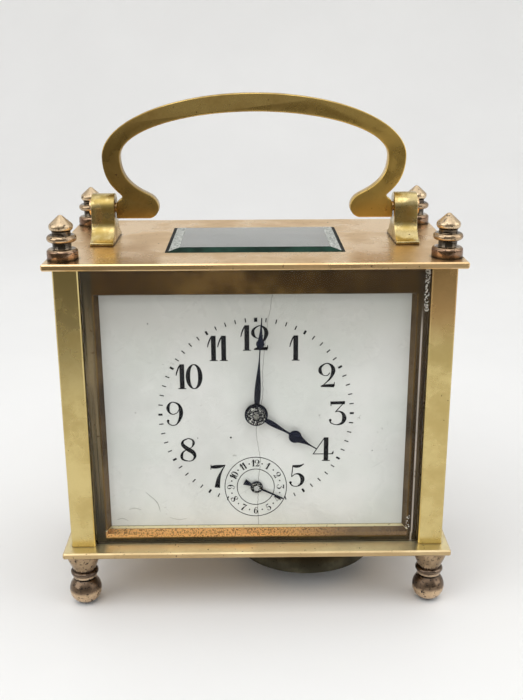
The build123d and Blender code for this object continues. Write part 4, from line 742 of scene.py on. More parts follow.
@dataclass
class Finishes:
    """Every finish on the clock, built once."""

    effects: Effects = field(default_factory=Effects)

    def __post_init__(self) -> None:
        """Build the materials."""
        brown = (0.09, 0.05, 0.02)
        foot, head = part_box("dial_mask")
        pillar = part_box("pillar_front_right")
        recipes = (
            Metal("case_brass", (0.71, 0.48, 0.26), (0.54, 0.34, 0.16), brown, smooth=0.2, rough=0.38, clouds=45.0),
            Metal("plate_brass", (0.88, 0.62, 0.33), (0.68, 0.46, 0.23), brown, smooth=0.24, rough=0.4, clouds=38.0,
                  spot_threshold=0.66, recess_mm=1.4, recess_share=0.7),
            # The base plate: painted shade on its rim
            SlabMetal("base_brass", (0.93, 0.82, 0.50), (0.76, 0.62, 0.35), brown, smooth=0.36, rough=0.52,
                      clouds=38.0, spot_threshold=0.66, recess_mm=1.4, recess_share=0.35, rim=(0.50, 0.34, 0.17)),
            PillarMetal("pillar_brass", (0.65, 0.52, 0.23), (0.54, 0.41, 0.16), brown, smooth=0.22, rough=0.32,
                        spot_threshold=0.69, recess_mm=0.8, recess_share=0.6, edge_share=0.25,
                        inner_x=pillar[0][0], head_z=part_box("top_plate")[0][2]),
            Metal("stand_brass", (0.66, 0.53, 0.26), (0.40, 0.29, 0.09), brown, smooth=0.17, rough=0.34,
                  spot_threshold=0.66, clouds=170.0, bump=0.12, recess_mm=1.6, recess_share=0.7),
            SidedMetal("handle_brass", (0.66, 0.47, 0.16), (0.33, 0.215, 0.065), brown, smooth=0.22, rough=0.4,
                       clouds=70.0, spot_threshold=0.68, speckles=700.0, edge_share=0.35,
                       left=(0.30, 0.19, 0.055), right=(0.78, 0.53, 0.14)),
            TurnedMetal("finial_brass", (0.66, 0.50, 0.32), (0.26, 0.185, 0.12), (0.04, 0.034, 0.03), smooth=0.12,
                        rough=0.36, speckles=900.0, spot_threshold=0.6, clouds=200.0, recess_mm=1.9,
                        recess_share=0.95, base_z=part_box("top_plate")[1][2], bands_mm=FINIAL_BANDS_MM),
            TurnedMetal("foot_brass", (0.62, 0.45, 0.30), (0.24, 0.165, 0.11), (0.04, 0.033, 0.03), smooth=0.12,
                        rough=0.36, speckles=1000.0, spot_threshold=0.575, clouds=200.0, recess_mm=1.9,
                        recess_share=0.95, bands_mm=FOOT_BANDS_MM, soft_mm=0.7),
            MaskMetal("mask_brass", (0.165, 0.095, 0.03), (0.06, 0.033, 0.011), brown, smooth=0.28, rough=0.45,
                      spot_threshold=0.62, speckles=1100.0, foot_z=foot[2], head_z=head[2], half_x=head[0]),
            Metal("gilt_brass", (0.75, 0.54, 0.22), (0.62, 0.42, 0.16), brown, smooth=0.3, rough=0.42, clouds=40.0,
                  spot_threshold=0.72),
            Metal("steel", (0.55, 0.55, 0.54), (0.40, 0.39, 0.37), (0.12, 0.08, 0.05), smooth=0.2, rough=0.34),
            Metal("platform_steel", (0.62, 0.61, 0.57), (0.5, 0.48, 0.43), (0.3, 0.26, 0.2), smooth=0.26, rough=0.4),
            Metal("spring_steel", (0.22, 0.24, 0.32), (0.15, 0.16, 0.22), (0.05, 0.05, 0.06), smooth=0.2, rough=0.3),
            Metal("blued_steel", (0.014, 0.016, 0.028), (0.02, 0.02, 0.026), (0.07, 0.065, 0.06), smooth=0.3,
                  rough=0.45, speckles=1500.0, spot_threshold=0.66, edge_share=0.2),
            Metal("hub_steel", (0.025, 0.025, 0.027), (0.012, 0.012, 0.014), (0.98, 0.97, 0.90), smooth=0.3,
                  rough=0.4, speckles=2700.0, spot_threshold=0.55, edge_share=0.1, clouds=600.0),
            Metal("nut_brass", (0.42, 0.41, 0.36), (0.03, 0.03, 0.03), (0.02, 0.02, 0.02), smooth=0.25, rough=0.4,
                  speckles=2900.0, spot_threshold=0.54, clouds=1500.0),
            Metal("jewel", (0.55, 0.03, 0.06), (0.45, 0.02, 0.05), (0.3, 0.02, 0.03), smooth=0.05, rough=0.1,
                  spot_threshold=0.8),
            Metal("bell_patina", (0.10, 0.09, 0.06), (0.05, 0.045, 0.03), (0.02, 0.018, 0.012), smooth=0.3, rough=0.5,
                  edge_share=0.3),
            Enamel("dial_enamel", (0.77, 0.78, 0.75), (0.68, 0.69, 0.66), (0.20, 0.19, 0.17), crack_mm=CRACK_MM,
                   crack_half_mm=0.14),
            Glass("case_glass", (0.955, 0.975, 0.96)),
            Glass("window_glass", (0.42, 0.44, 0.42), (0.50, 0.52, 0.50), gloss=1.0, clear=0.68),
            Ink("dial_ink", (0.005, 0.005, 0.007), (0.03, 0.028, 0.026), shine=0.12),
            Ink("scratch_grey", (0.36, 0.37, 0.34), (0.5, 0.5, 0.48)),
            Ink("chip_white", (0.80, 0.77, 0.70), (0.30, 0.26, 0.20)),
            Ink("chip_grey", (0.60, 0.62, 0.58), (0.08, 0.10, 0.09), blend=1.0, clouds=1300.0),
            # The window's front slope: the glass's green with painted shade of the dark case inside; its end rims:
            # painted shade in the gaps
            Ink("bottle_green_and_shade", (0.003, 0.016, 0.010), (0.02, 0.06, 0.042), blend=0.8, clouds=160.0, shine=0.02),
            Ink("gap_shade", (0.003, 0.004, 0.003), (0.02, 0.022, 0.018), shine=0.02),
        )
        self.made = {recipe.name: recipe.build(self.effects) for recipe in recipes}

    def dress(self, node: str, finish: str) -> None:
        """Give one CAD node a finish.

        Args:
            node: the node's name.
            finish: the finish's name.
        """
        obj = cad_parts[node]
        if not obj.material_slots:
            obj.data.materials.append(self.made[finish])
        for slot in obj.material_slots:
            slot.material = self.made[finish]


class Workshop:
    """Turns a bmesh into a finished piece."""

    def __init__(self, finishes: Finishes) -> None:
        """Keep the finishes at hand."""
        self.finishes = finishes

    def piece(self, mesh: bmesh.types.BMesh, name: str, finish: str, body: Body, slot: Slot,
              sharp: float = 32.0, closed: bool = True) -> bpy.types.Object:
        """Make an object of a bmesh, dress it and let it ride.

        Args:
            mesh: the shape, in the row frame.
            name: the piece's name.
            finish: the finish's name.
            body: what it rides on.
            slot: the record's slot that it stands for; it is not used.
            sharp: edges over this angle, in degrees, stay sharp.
            closed: whether faces are turned outwards.

        Returns:
            The piece.
        """
        if closed:
            bmesh.ops.recalc_face_normals(mesh, faces=mesh.faces)
        data = bpy.data.meshes.new(name)
        mesh.to_mesh(data)
        mesh.free()
        data.polygons.foreach_set("use_smooth", [True] * len(data.polygons))
        data.set_sharp_from_angle(angle=math.radians(sharp))
        obj = bpy.data.objects.new(name, data)
        bpy.context.scene.collection.objects.link(obj)
        data.materials.append(self.finishes.made[finish])
        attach(obj, body.value)
        log.info("%s: %d faces", name, len(data.polygons))
        return obj

    def softened(self, node: str, name: str, finish: str, body: Body, slot: Slot, width_mm: float,
                 steps: int = 2, over: float = 28.0) -> bpy.types.Object:
        """Replace a CAD node with a merged copy whose edges are rounded.

        Args:
            node: the CAD node.
            name: the new piece's name.
            finish: the finish's name.
            body: what it rides on.
            slot: the record's slot that it stands for.
            width_mm: the width of the rounding.
            steps: the rounding's segments.
            over: edges that turn more than this many degrees are rounded.

        Returns:
            The piece.
        """
        mesh = bmesh.new()
        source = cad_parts[node]
        mesh.from_mesh(source.data)
        bmesh.ops.remove_doubles(mesh, verts=mesh.verts, dist=0.002 * MM)
        bmesh.ops.dissolve_limit(mesh, angle_limit=math.radians(0.5), verts=mesh.verts, edges=mesh.edges)
        corners = [edge for edge in mesh.edges
                   if len(edge.link_faces) == 2 and edge.calc_face_angle() > math.radians(over)]
        bmesh.ops.bevel(mesh, geom=corners, offset=width_mm * MM, offset_type="OFFSET", segments=steps, profile=0.5,
                        affect="EDGES", material=-1, clamp_overlap=True)
        piece = self.piece(mesh, name, finish, body, slot)
        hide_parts(node)
        return piece


# Dial printing

def ellipse(x: float, y: float, wide: float, high: float, thin: float, thick: float) -> Stroke:
    """A closed stroke, thick at its sides and thin at its top and bottom.

    Returns:
        The stroke's points with their half widths.
    """
    count = 32
    points = []
    for index in range(count + 1):
        angle = 2 * math.pi * index / count
        half = thin + (thick - thin) * abs(math.cos(angle)) ** 1.5
        points.append((x + wide * math.cos(angle), y + high * math.sin(angle), half))
    return tuple(points)


HAIR = 0.017
STEM = 0.09

# Each numeral's strokes, one high: places across and up, with half widths
GLYPHS: dict[str, tuple[Stroke, ...]] = {
    "0": (ellipse(0.0, 0.5, 0.235, 0.484, HAIR, 0.085),),
    "1": (((0.0, 0.0, STEM), (0.0, 1.0, STEM)), ((-0.15, HAIR, HAIR), (0.15, HAIR, HAIR)),
          ((-0.07, 0.975, HAIR), (-0.12, 0.88, 0.026), (-0.19, 0.70, 0.024), (-0.225, 0.55, HAIR))),
    "2": (((0.12, 0.6, HAIR), (0.02, 0.49, HAIR), (-0.13, 0.505, 0.02), (-0.25, 0.65, 0.065), (-0.225, 0.84, 0.045),
           (0.0, 0.98, HAIR), (0.19, 0.87, 0.055), (0.25, 0.67, 0.08), (0.15, 0.39, 0.04), (-0.06, 0.16, HAIR),
           (-0.21, 0.03, HAIR)),
          ((-0.22, 0.04, 0.02), (-0.1, 0.07, 0.05), (0.29, 0.075, 0.07)), ((0.29, 0.06, 0.025), (0.3, 0.22, 0.012))),
    "3": (((-0.27, 0.92, 0.06), (0.27, 0.93, 0.062)), ((-0.275, 0.99, HAIR), (-0.265, 0.8, HAIR)),
          ((0.27, 0.97, HAIR), (-0.08, 0.56, HAIR)),
          ((-0.1, 0.55, HAIR), (0.04, 0.575, 0.02), (0.2, 0.48, 0.055), (0.26, 0.27, 0.085), (0.17, 0.08, 0.05),
           (-0.04, 0.016, HAIR), (-0.25, 0.09, 0.022), (-0.3, 0.22, 0.035))),
    "4": (((0.12, 0.0, STEM), (0.12, 1.0, STEM)), ((0.05, 0.98, HAIR), (-0.38, 0.3, HAIR)),
          ((-0.4, 0.3, HAIR), (0.4, 0.3, HAIR)), ((-0.04, HAIR, HAIR), (0.28, HAIR, HAIR)),
          ((0.34, 0.3, 0.012), (0.385, 0.34, 0.03), (0.405, 0.42, 0.008))),
    "5": (((-0.16, 0.9, 0.035), (-0.03, 0.885, 0.06), (0.12, 0.9, 0.05), (0.285, 0.985, 0.01)),
          ((-0.15, 0.92, HAIR), (-0.2, 0.43, HAIR)),
          ((-0.2, 0.43, HAIR), (-0.06, 0.545, 0.018), (0.1, 0.545, 0.045), (0.23, 0.37, 0.085), (0.185, 0.14, 0.055),
           (0.01, 0.015, HAIR), (-0.18, 0.06, 0.022), (-0.26, 0.2, 0.035))),
    "6": (ellipse(0.0, 0.3, 0.2, 0.284, HAIR, 0.08),
          ((-0.2, 0.33, 0.08), (-0.15, 0.68, 0.055), (0.0, 0.94, 0.028), (0.15, 0.96, HAIR), (0.21, 0.84, 0.03))),
    "7": (((-0.265, 0.89, 0.05), (-0.1, 0.905, 0.075), (0.1, 0.925, 0.06), (0.29, 0.98, 0.01)),
          ((-0.275, 0.99, HAIR), (-0.285, 0.78, 0.012)),
          ((0.27, 0.96, HAIR), (0.12, 0.68, 0.035), (0.01, 0.37, 0.075), (-0.045, 0.0, 0.11))),
    "8": (((0.01, 0.983, HAIR), (-0.18, 0.88, 0.035), (-0.21, 0.72, 0.065), (-0.03, 0.54, 0.085), (0.18, 0.39, 0.085),
           (0.26, 0.22, 0.055), (0.16, 0.05, 0.022), (-0.01, 0.018, HAIR), (-0.22, 0.09, 0.04), (-0.26, 0.25, 0.055),
           (-0.19, 0.41, 0.03), (-0.03, 0.52, HAIR), (0.14, 0.61, HAIR), (0.22, 0.77, 0.05), (0.17, 0.92, 0.03),
           (0.01, 0.983, HAIR)),),
    "9": (((0.2, 0.7, HAIR), (0.1, 0.54, HAIR), (-0.06, 0.48, HAIR), (-0.19, 0.56, 0.035), (-0.24, 0.74, 0.065),
           (-0.17, 0.92, 0.035), (-0.03, 0.98, HAIR), (0.18, 0.87, 0.045), (0.26, 0.6, 0.08), (0.22, 0.32, 0.06),
           (0.08, 0.07, 0.024), (-0.09, 0.018, HAIR), (-0.23, 0.1, 0.025), (-0.27, 0.22, 0.035)),),
}
# Round ends of the numerals: place across and up, and radius
BALLS: dict[str, tuple[float, float, float]] = {
    "3": (-0.28, 0.21, 0.05), "5": (-0.24, 0.19, 0.05), "6": (0.19, 0.83, 0.05), "9": (-0.25, 0.21, 0.05),
}
# How far the digits of a number stand from its middle
SPACING: dict[str, tuple[float, ...]] = {"10": (-0.28, 0.18), "11": (-0.165, 0.22), "12": (-0.3, 0.185)}
# The numerals' places from the hub, across and up; the six gives way to the small dial
PLACES_MM: dict[int, tuple[float, float]] = {
    1: (12.3, 21.4), 2: (22.0, 12.45), 3: (25.7, -0.25), 4: (21.25, -12.6), 5: (12.9, -21.65), 7: (-12.35, -21.75),
    8: (-21.75, -12.4), 9: (-25.75, -0.05), 10: (-20.7, 12.3), 11: (-11.7, 21.45), 12: (-0.3, 24.75),
}
# Dark specks on the enamel: across and up from the hub, and radius
SPECKS_MM = ((-8.1, -8.3, 0.3), (-18.6, -8.4, 0.15), (37.0, -13.2, 0.16), (-33.0, 29.5, 0.2))
# Fine scratches on the enamel: across and up, with half widths
SCRATCHES_MM: tuple[Stroke, ...] = (
    ((-35.9, 38.2, 0.05), (-34.6, 36.9, 0.09), (-32.3, 34.4, 0.12), (-31.4, 31.2, 0.05)),
    ((-41.5, 32.0, 0.04), (-39.8, 32.5, 0.09), (-37.6, 31.9, 0.04)),
    ((-45.5, 28.4, 0.05), (-43.8, 28.8, 0.1), (-41.9, 27.9, 0.04)),
    ((-28.4, 29.0, 0.03), (-25.5, 28.2, 0.06), (-22.9, 28.6, 0.03)),
)


@dataclass
class DialPrinting:
    """The minute track, the numerals and the small alarm dial, as thin raised print on the enamel."""

    workshop: Workshop
    ink_mm: float = 0.05
    track_mm: tuple[float, float] = (30.15, 30.85)
    track_drop_mm: float = 0.3
    dash_mm: tuple[float, float] = (1.35, 0.165)
    five_mm: tuple[float, float] = (1.3, 0.33)
    noon_mm: float = 0.5
    numeral_mm: float = 8.15
    alarm_shift_mm: tuple[float, float] = (-0.28, -0.2)
    alarm_high: float = 1.05
    alarm_outer_mm: float = 9.95
    alarm_inner_mm: float = 6.0
    alarm_line_mm: float = 0.11
    alarm_numeral_mm: float = 2.35
    alarm_numeral_ring_mm: float = 8.0
    alarm_bold: float = 1.15
    alarm_dot_mm: float = 0.25
    hidden_minutes: tuple[int, int] = (28, 32)

    def __post_init__(self) -> None:
        """Find the dial's face and its two centres."""
        low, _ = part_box("dial")
        first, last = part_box("centre_arbor")
        self.face = low[1]
        self.hub = ((first[0] + last[0]) / 2, (first[2] + last[2]) / 2)
        first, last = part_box("alarm_hour_wheel")
        self.alarm = ((first[0] + last[0]) / 2, (first[2] + last[2]) / 2)

    def _stroke(self, mesh: bmesh.types.BMesh, points: Stroke, place: Matrix, smooth: int = 5,
                bold: float = 1.0) -> None:
        """Draw one stroke by pulling a short edge along its path.

        Args:
            mesh: the mesh to draw in.
            points: places with half widths, in the numeral's own units.
            place: puts those units on the dial.
            smooth: steps between two points; straight strokes take one.
            bold: widens the stroke.
        """
        path = self._smoothed(points, smooth) if len(points) > 2 else list(points)
        path = [(x, y, half * bold) for x, y, half in path]
        edge = None
        for index, (x, y, half) in enumerate(path):
            before = path[max(index - 1, 0)]
            after = path[min(index + 1, len(path) - 1)]
            along = Vector((after[0] - before[0], after[1] - before[1])).normalized()
            left = place @ Vector((x - along.y * half, y + along.x * half, 0.0))
            right = place @ Vector((x + along.y * half, y - along.x * half, 0.0))
            if edge is None:
                ends = [bmesh.ops.create_vert(mesh, co=spot)["vert"][0] for spot in (left, right)]
                edge = mesh.edges.new(ends)
                continue
            pulled = bmesh.ops.extrude_edge_only(mesh, edges=[edge])["geom"]
            new = [item for item in pulled if isinstance(item, bmesh.types.BMVert)]
            edge = next(item for item in pulled if isinstance(item, bmesh.types.BMEdge))
            first = min(new, key=lambda vert: (vert.co - ends[0].co).length)
            second = next(vert for vert in new if vert is not first)
            first.co = left
            second.co = right
            ends = [first, second]

    def _smoothed(self, points: Stroke, steps: int) -> list[tuple[float, float, float]]:
        """Round a path off through its points.

        Returns:
            More points on a smooth path.
        """
        spots = [Vector(point) for point in points]
        spots = [spots[0] * 2 - spots[1], *spots, spots[-1] * 2 - spots[-2]]
        path = []
        for index in range(1, len(spots) - 2):
            before, here, there, after = spots[index - 1:index + 3]
            for step in range(steps):
                part = step / steps
                rise = (there - before) * part
                curve = (before * 2 - here * 5 + there * 4 - after) * part ** 2
                turn = (here * 3 - there * 3 + after - before) * part ** 3
                path.append(tuple(here + (rise + curve + turn) / 2))
        path.append(tuple(spots[-2]))
        return [(x, y, max(half, HAIR * 0.8)) for x, y, half in path]

    def _disc(self, mesh: bmesh.types.BMesh, x: float, y: float, radius: float, place: Matrix,
              sides: int = 20) -> None:
        """Draw a filled round dot."""
        spot = place @ Matrix.Translation((x, y, 0.0))
        bmesh.ops.create_circle(mesh, cap_ends=True, segments=sides, radius=radius, matrix=spot)

    def _on_dial(self, centre: tuple[float, float], x: float, z: float, turn: float, scale: float) -> Matrix:
        """Put a drawing on the dial's face.

        Args:
            centre: the hub that x and z count from.
            x: to the right of the hub, in metres.
            z: above the hub, in metres.
            turn: turned clockwise by this angle.
            scale: metres for one unit of the drawing.

        Returns:
            The drawing's place.
        """
        lift = self.ink_mm * MM
        upright = Matrix.Rotation(math.pi / 2, 4, "X")
        place = Matrix.Translation((centre[0] + x, self.face - lift, centre[1] + z))
        return place @ upright @ Matrix.Rotation(-turn, 4, "Z") @ Matrix.Scale(scale, 4)

    def _number(self, mesh: bmesh.types.BMesh, number: int, place: Matrix, bold: float = 1.0) -> None:
        """Draw a number about its middle.

        Args:
            mesh: the mesh to draw in.
            number: what it says.
            place: puts a number one high on the dial.
            bold: widens its strokes.
        """
        digits = str(number)
        for digit, shift in zip(digits, SPACING.get(digits, (0.0,))):
            local = place @ Matrix.Translation((shift, -0.5, 0.0))
            for stroke in GLYPHS[digit]:
                self._stroke(mesh, stroke, local, bold=bold)
            if digit in BALLS:
                x, y, radius = BALLS[digit]
                self._disc(mesh, x, y, radius * bold, local)

    def _print(self, mesh: bmesh.types.BMesh, name: str, finish: str = "dial_ink") -> None:
        """Give the drawing its thickness and make it a piece."""
        faces = list(mesh.faces)
        bmesh.ops.recalc_face_normals(mesh, faces=faces)
        for face in faces:
            if face.normal.y > 0:
                face.normal_flip()
        pulled = bmesh.ops.extrude_face_region(mesh, geom=faces, use_keep_orig=True)["geom"]
        verts = [item for item in pulled if isinstance(item, bmesh.types.BMVert)]
        bmesh.ops.translate(mesh, verts=verts, vec=(0.0, self.ink_mm * MM, 0.0))
        self.workshop.piece(mesh, name, finish, Body.CASE, Slot.ENAMEL)

    def track(self) -> None:
        """Draw a dash for each minute and a thick one for each five."""
        mesh = bmesh.new()
        wide, high = (size * MM for size in self.track_mm)
        for minute in range(60):
            if self.hidden_minutes[0] <= minute <= self.hidden_minutes[1]:
                continue
            angle = 2 * math.pi * minute / 60
            place = self._on_dial(self.hub, wide * math.sin(angle), high * math.cos(angle) - self.track_drop_mm * MM,
                                  angle, MM)
            length, half = self.dash_mm if minute % 5 else self.five_mm
            if minute == 0:
                half = self.noon_mm
            self._stroke(mesh, ((0.0, -length / 2, half), (0.0, length / 2, half)), place)
        self._print(mesh, "minute_track")

    def numerals(self) -> None:
        """Draw the upright numerals, and the enamel's specks and scratches."""
        mesh = bmesh.new()
        for number, (x, z) in PLACES_MM.items():
            self._number(mesh, number, self._on_dial(self.hub, x * MM, z * MM, 0.0, self.numeral_mm * MM))
        self._print(mesh, "dial_numerals")
        marks = bmesh.new()
        for x, z, radius in SPECKS_MM:
            self._disc(marks, 0.0, 0.0, radius, self._on_dial(self.hub, x * MM, z * MM, 0.0, MM), sides=10)
        self._print(marks, "dial_specks")
        marks = bmesh.new()
        for scratch in SCRATCHES_MM:
            self._stroke(marks, scratch, self._on_dial((0.0, 0.0), 0.0, 0.0, 0.0, MM))
        self._print(marks, "dial_scratches", "scratch_grey")

    def alarm_dial(self) -> None:
        """Draw the small dial: two rings, twelve numerals and a dot between each two."""
        centre = (self.alarm[0] + self.alarm_shift_mm[0] * MM, self.alarm[1] + self.alarm_shift_mm[1] * MM)
        rings = bmesh.new()
        for radius in (self.alarm_outer_mm, self.alarm_inner_mm):
            points = ellipse(0.0, 0.0, radius, radius * self.alarm_high, self.alarm_line_mm, self.alarm_line_mm)
            self._stroke(rings, points, self._on_dial(centre, 0.0, 0.0, 0.0, MM), smooth=3)
        self._print(rings, "alarm_rings")
        mesh = bmesh.new()
        ring = self.alarm_numeral_ring_mm * MM
        for number in range(1, 13):
            angle = math.pi * number / 6
            turn = angle + math.pi if 4 <= number <= 8 else angle
            place = self._on_dial(centre, ring * math.sin(angle), ring * self.alarm_high * math.cos(angle), turn,
                                  self.alarm_numeral_mm * MM)
            self._number(mesh, number, place, self.alarm_bold)
            between = angle + math.pi / 12
            place = self._on_dial(centre, ring * math.sin(between), ring * self.alarm_high * math.cos(between), 0.0,
                                  MM)
            self._disc(mesh, 0.0, 0.0, self.alarm_dot_mm, place, sides=10)
        self._print(mesh, "alarm_numerals")

    def build(self) -> None:
        """Print the whole dial."""
        self.track()
        self.numerals()
        self.alarm_dial()


@dataclass
class Case:
    """The brass case: its softened metalwork and its glasses."""

    workshop: Workshop
    round_mm: float = 0.5
    turned_round_mm: float = 0.18
    window_lip_mm: float = 2.05
    window_lip_high_mm: float = 1.25
    window_slope_mm: float = 4.2
    window_rise_mm: float = 0.85
    window_rim_mm: float = 1.1

    def build(self) -> None:
        """Dress the case's nodes and replace the ones whose edges are rounded by wear."""
        dress = self.workshop.finishes.dress
        for node in ("door_frame", "door_knob", "handle_pins"):
            dress(node, "case_brass")
        dress("top_plate", "plate_brass")
        dress("base_plate", "base_brass")
        for corner in ("front_left", "front_right", "back_left", "back_right"):
            dress("pillar_" + corner, "pillar_brass")
            for part in ("foot_", "finial_"):
                self.workshop.softened(part + corner, "turned_" + part + corner, part + "brass", Body.CASE,
                                       Slot.BRASS, self.turned_round_mm, over=20.0)
        for side in ("left", "right"):
            dress("side_glass_" + side, "case_glass")
            self.workshop.softened("handle_stand_" + side, "soft_stand_" + side, "stand_brass", Body.CASE,
                                   Slot.BRASS, self.round_mm)
        for node in ("front_glass", "door_glass"):
            dress(node, "case_glass")
        self.window()
        dress("dial_mask", "mask_brass")
        dress("dial", "dial_enamel")
        self.workshop.softened("handle", "soft_handle", "handle_brass", Body.HANDLE, Slot.BRASS, self.round_mm, 3)


    def window(self) -> None:
        """Set the top window's pane proud of its opening, and coat its slopes: bottle green with painted shade on the
        front, chips on the ends, and painted shade in the gaps along the ends' outer rims.
        """
        low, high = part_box("top_glass")
        _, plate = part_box("top_plate")
        lip, slope, rise = self.window_lip_mm * MM, self.window_slope_mm * MM, self.window_rise_mm * MM
        base = plate[2] - 0.04 * MM
        mesh = bmesh.new()
        made = bmesh.ops.create_grid(mesh, x_segments=1, y_segments=1, size=1.0)
        bmesh.ops.scale(mesh, verts=made["verts"], vec=(high[0], high[1], 1.0))
        bmesh.ops.translate(mesh, verts=made["verts"], vec=(0.0, 0.0, low[2]))
        mesh.faces.ensure_lookup_table()
        top = mesh.faces[0]
        for grow, inset in ((plate[2] - self.window_lip_high_mm * MM - low[2], lip),
                            (self.window_lip_high_mm * MM - 0.04 * MM, 0.0)):
            pulled = bmesh.ops.extrude_face_region(mesh, geom=[top])["geom"]
            top = next(item for item in pulled if isinstance(item, bmesh.types.BMFace))
            bmesh.ops.translate(mesh, verts=top.verts[:], vec=(0.0, 0.0, grow))
            if inset:
                bmesh.ops.inset_region(mesh, faces=[top], thickness=inset, use_even_offset=True)
        bmesh.ops.inset_region(mesh, faces=[top], thickness=slope, depth=rise, use_even_offset=True)
        pane = self.workshop.piece(mesh, "window_pane", "window_glass", Body.CASE, Slot.GLASS, sharp=3.0)
        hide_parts("top_glass")
        half_x, half_y = high[0] - lip, high[1] - lip
        # Bottle green on the front slope, with painted shade of the dark case inside seen through it
        self._slope("window_front_slope", "bottle_green_and_shade",
                    [[(-half_x, -half_y, 0.0), (half_x, -half_y, 0.0), (half_x - slope, slope - half_y, rise),
                      (slope - half_x, slope - half_y, rise)]], base)
        rim = self.window_rim_mm * MM
        part = rise * rim / slope
        ends, gap_shades = [], []
        for side in (-1.0, 1.0):
            ends.append([(side * (half_x - rim), -half_y + rim, part), (side * (half_x - rim), half_y - rim, part),
                         (side * (half_x - slope), half_y - slope, rise),
                         (side * (half_x - slope), slope - half_y, rise)])
            gap_shades.append([(side * half_x, -half_y, 0.0), (side * half_x, half_y, 0.0),
                         (side * (half_x - rim), half_y - rim, part), (side * (half_x - rim), -half_y + rim, part)])
        self._slope("window_end_chips", "chip_grey", ends, base)
        # Near-black painted shade in the gaps along the opening's end walls
        self._slope("window_end_gap_shade", "gap_shade", gap_shades, base)

    def _slope(self, name: str, finish: str, sheets: list[list[tuple[float, float, float]]], base: float) -> None:
        """Lay thin coats on the window's slopes.

        Args:
            name: the piece's name.
            finish: the finish's name.
            sheets: each coat's corners, with the height above the base.
            base: the height that the slopes start from.
        """
        mesh = bmesh.new()
        for corners in sheets:
            verts = [bmesh.ops.create_vert(mesh, co=(x, y, base + z + 0.02 * MM))["vert"][0] for x, y, z in corners]
            face = mesh.faces.new(verts)
            pulled = bmesh.ops.extrude_face_region(mesh, geom=[face])["geom"]
            raised = [item for item in pulled if isinstance(item, bmesh.types.BMVert)]
            bmesh.ops.translate(mesh, verts=raised, vec=(0.0, 0.0, 0.02 * MM))
        self.workshop.piece(mesh, name, finish, Body.CASE, Slot.GLASS, sharp=5.0)


@dataclass
class Movement:
    """The finishes of the movement, the hands and the bell."""

    workshop: Workshop

    def build(self) -> None:
        """Dress each node inside the case."""
        dress = self.workshop.finishes.dress
        kinds = {
            "gilt_brass": ("movement_front_plate", "movement_back_plate", "barrel", "centre_wheel", "third_wheel",
                           "contrate_wheel", "minute_wheel", "hour_wheel", "alarm_hour_wheel", "alarm_barrel",
                           "alarm_strike_wheel", "balance"),
            "steel": ("movement_screws", "winding_arbor", "ratchet_wheel", "click", "alarm_click",
                      "alarm_winding_arbor", "centre_arbor", "cannon_pinion", "alarm_set_arbor", "pallet_lever",
                      "hammer", "bell_post", "escape_wheel"),
            "platform_steel": ("platform", "balance_cock"),
            "spring_steel": ("mainspring", "hairspring"),
            "blued_steel": ("hour_hand", "minute_hand", "alarm_hand"),
            "bell_patina": ("bell",),
        }
        for finish, nodes in kinds.items():
            for node in nodes:
                dress(node, finish)


# Turned outlines: along the axis from the seat, and radius
COLLET_MM = ((0.0, 3.05), (0.14, 3.0), (0.24, 2.75), (0.27, 2.4), (0.2, 2.1), (0.2, 1.75), (0.3, 1.5), (0.3, 1.12),
             (0.0, 1.1))
NUT_MM = ((0.0, 0.95), (0.5, 0.95), (0.62, 0.85), (0.68, 0.6), (0.74, 0.35), (0.76, 0.0))
BUSH_MM = ((0.0, 2.3), (0.22, 2.2), (0.26, 2.0), (0.26, 1.75), (0.08, 1.25), (0.08, 0.98), (0.0, 0.97))
ALARM_COLLET_MM = ((0.0, 1.8), (0.16, 1.75), (0.26, 1.5), (0.3, 1.15), (0.22, 0.95), (0.2, 0.6),
                   (0.26, 0.3), (0.27, 0.0))


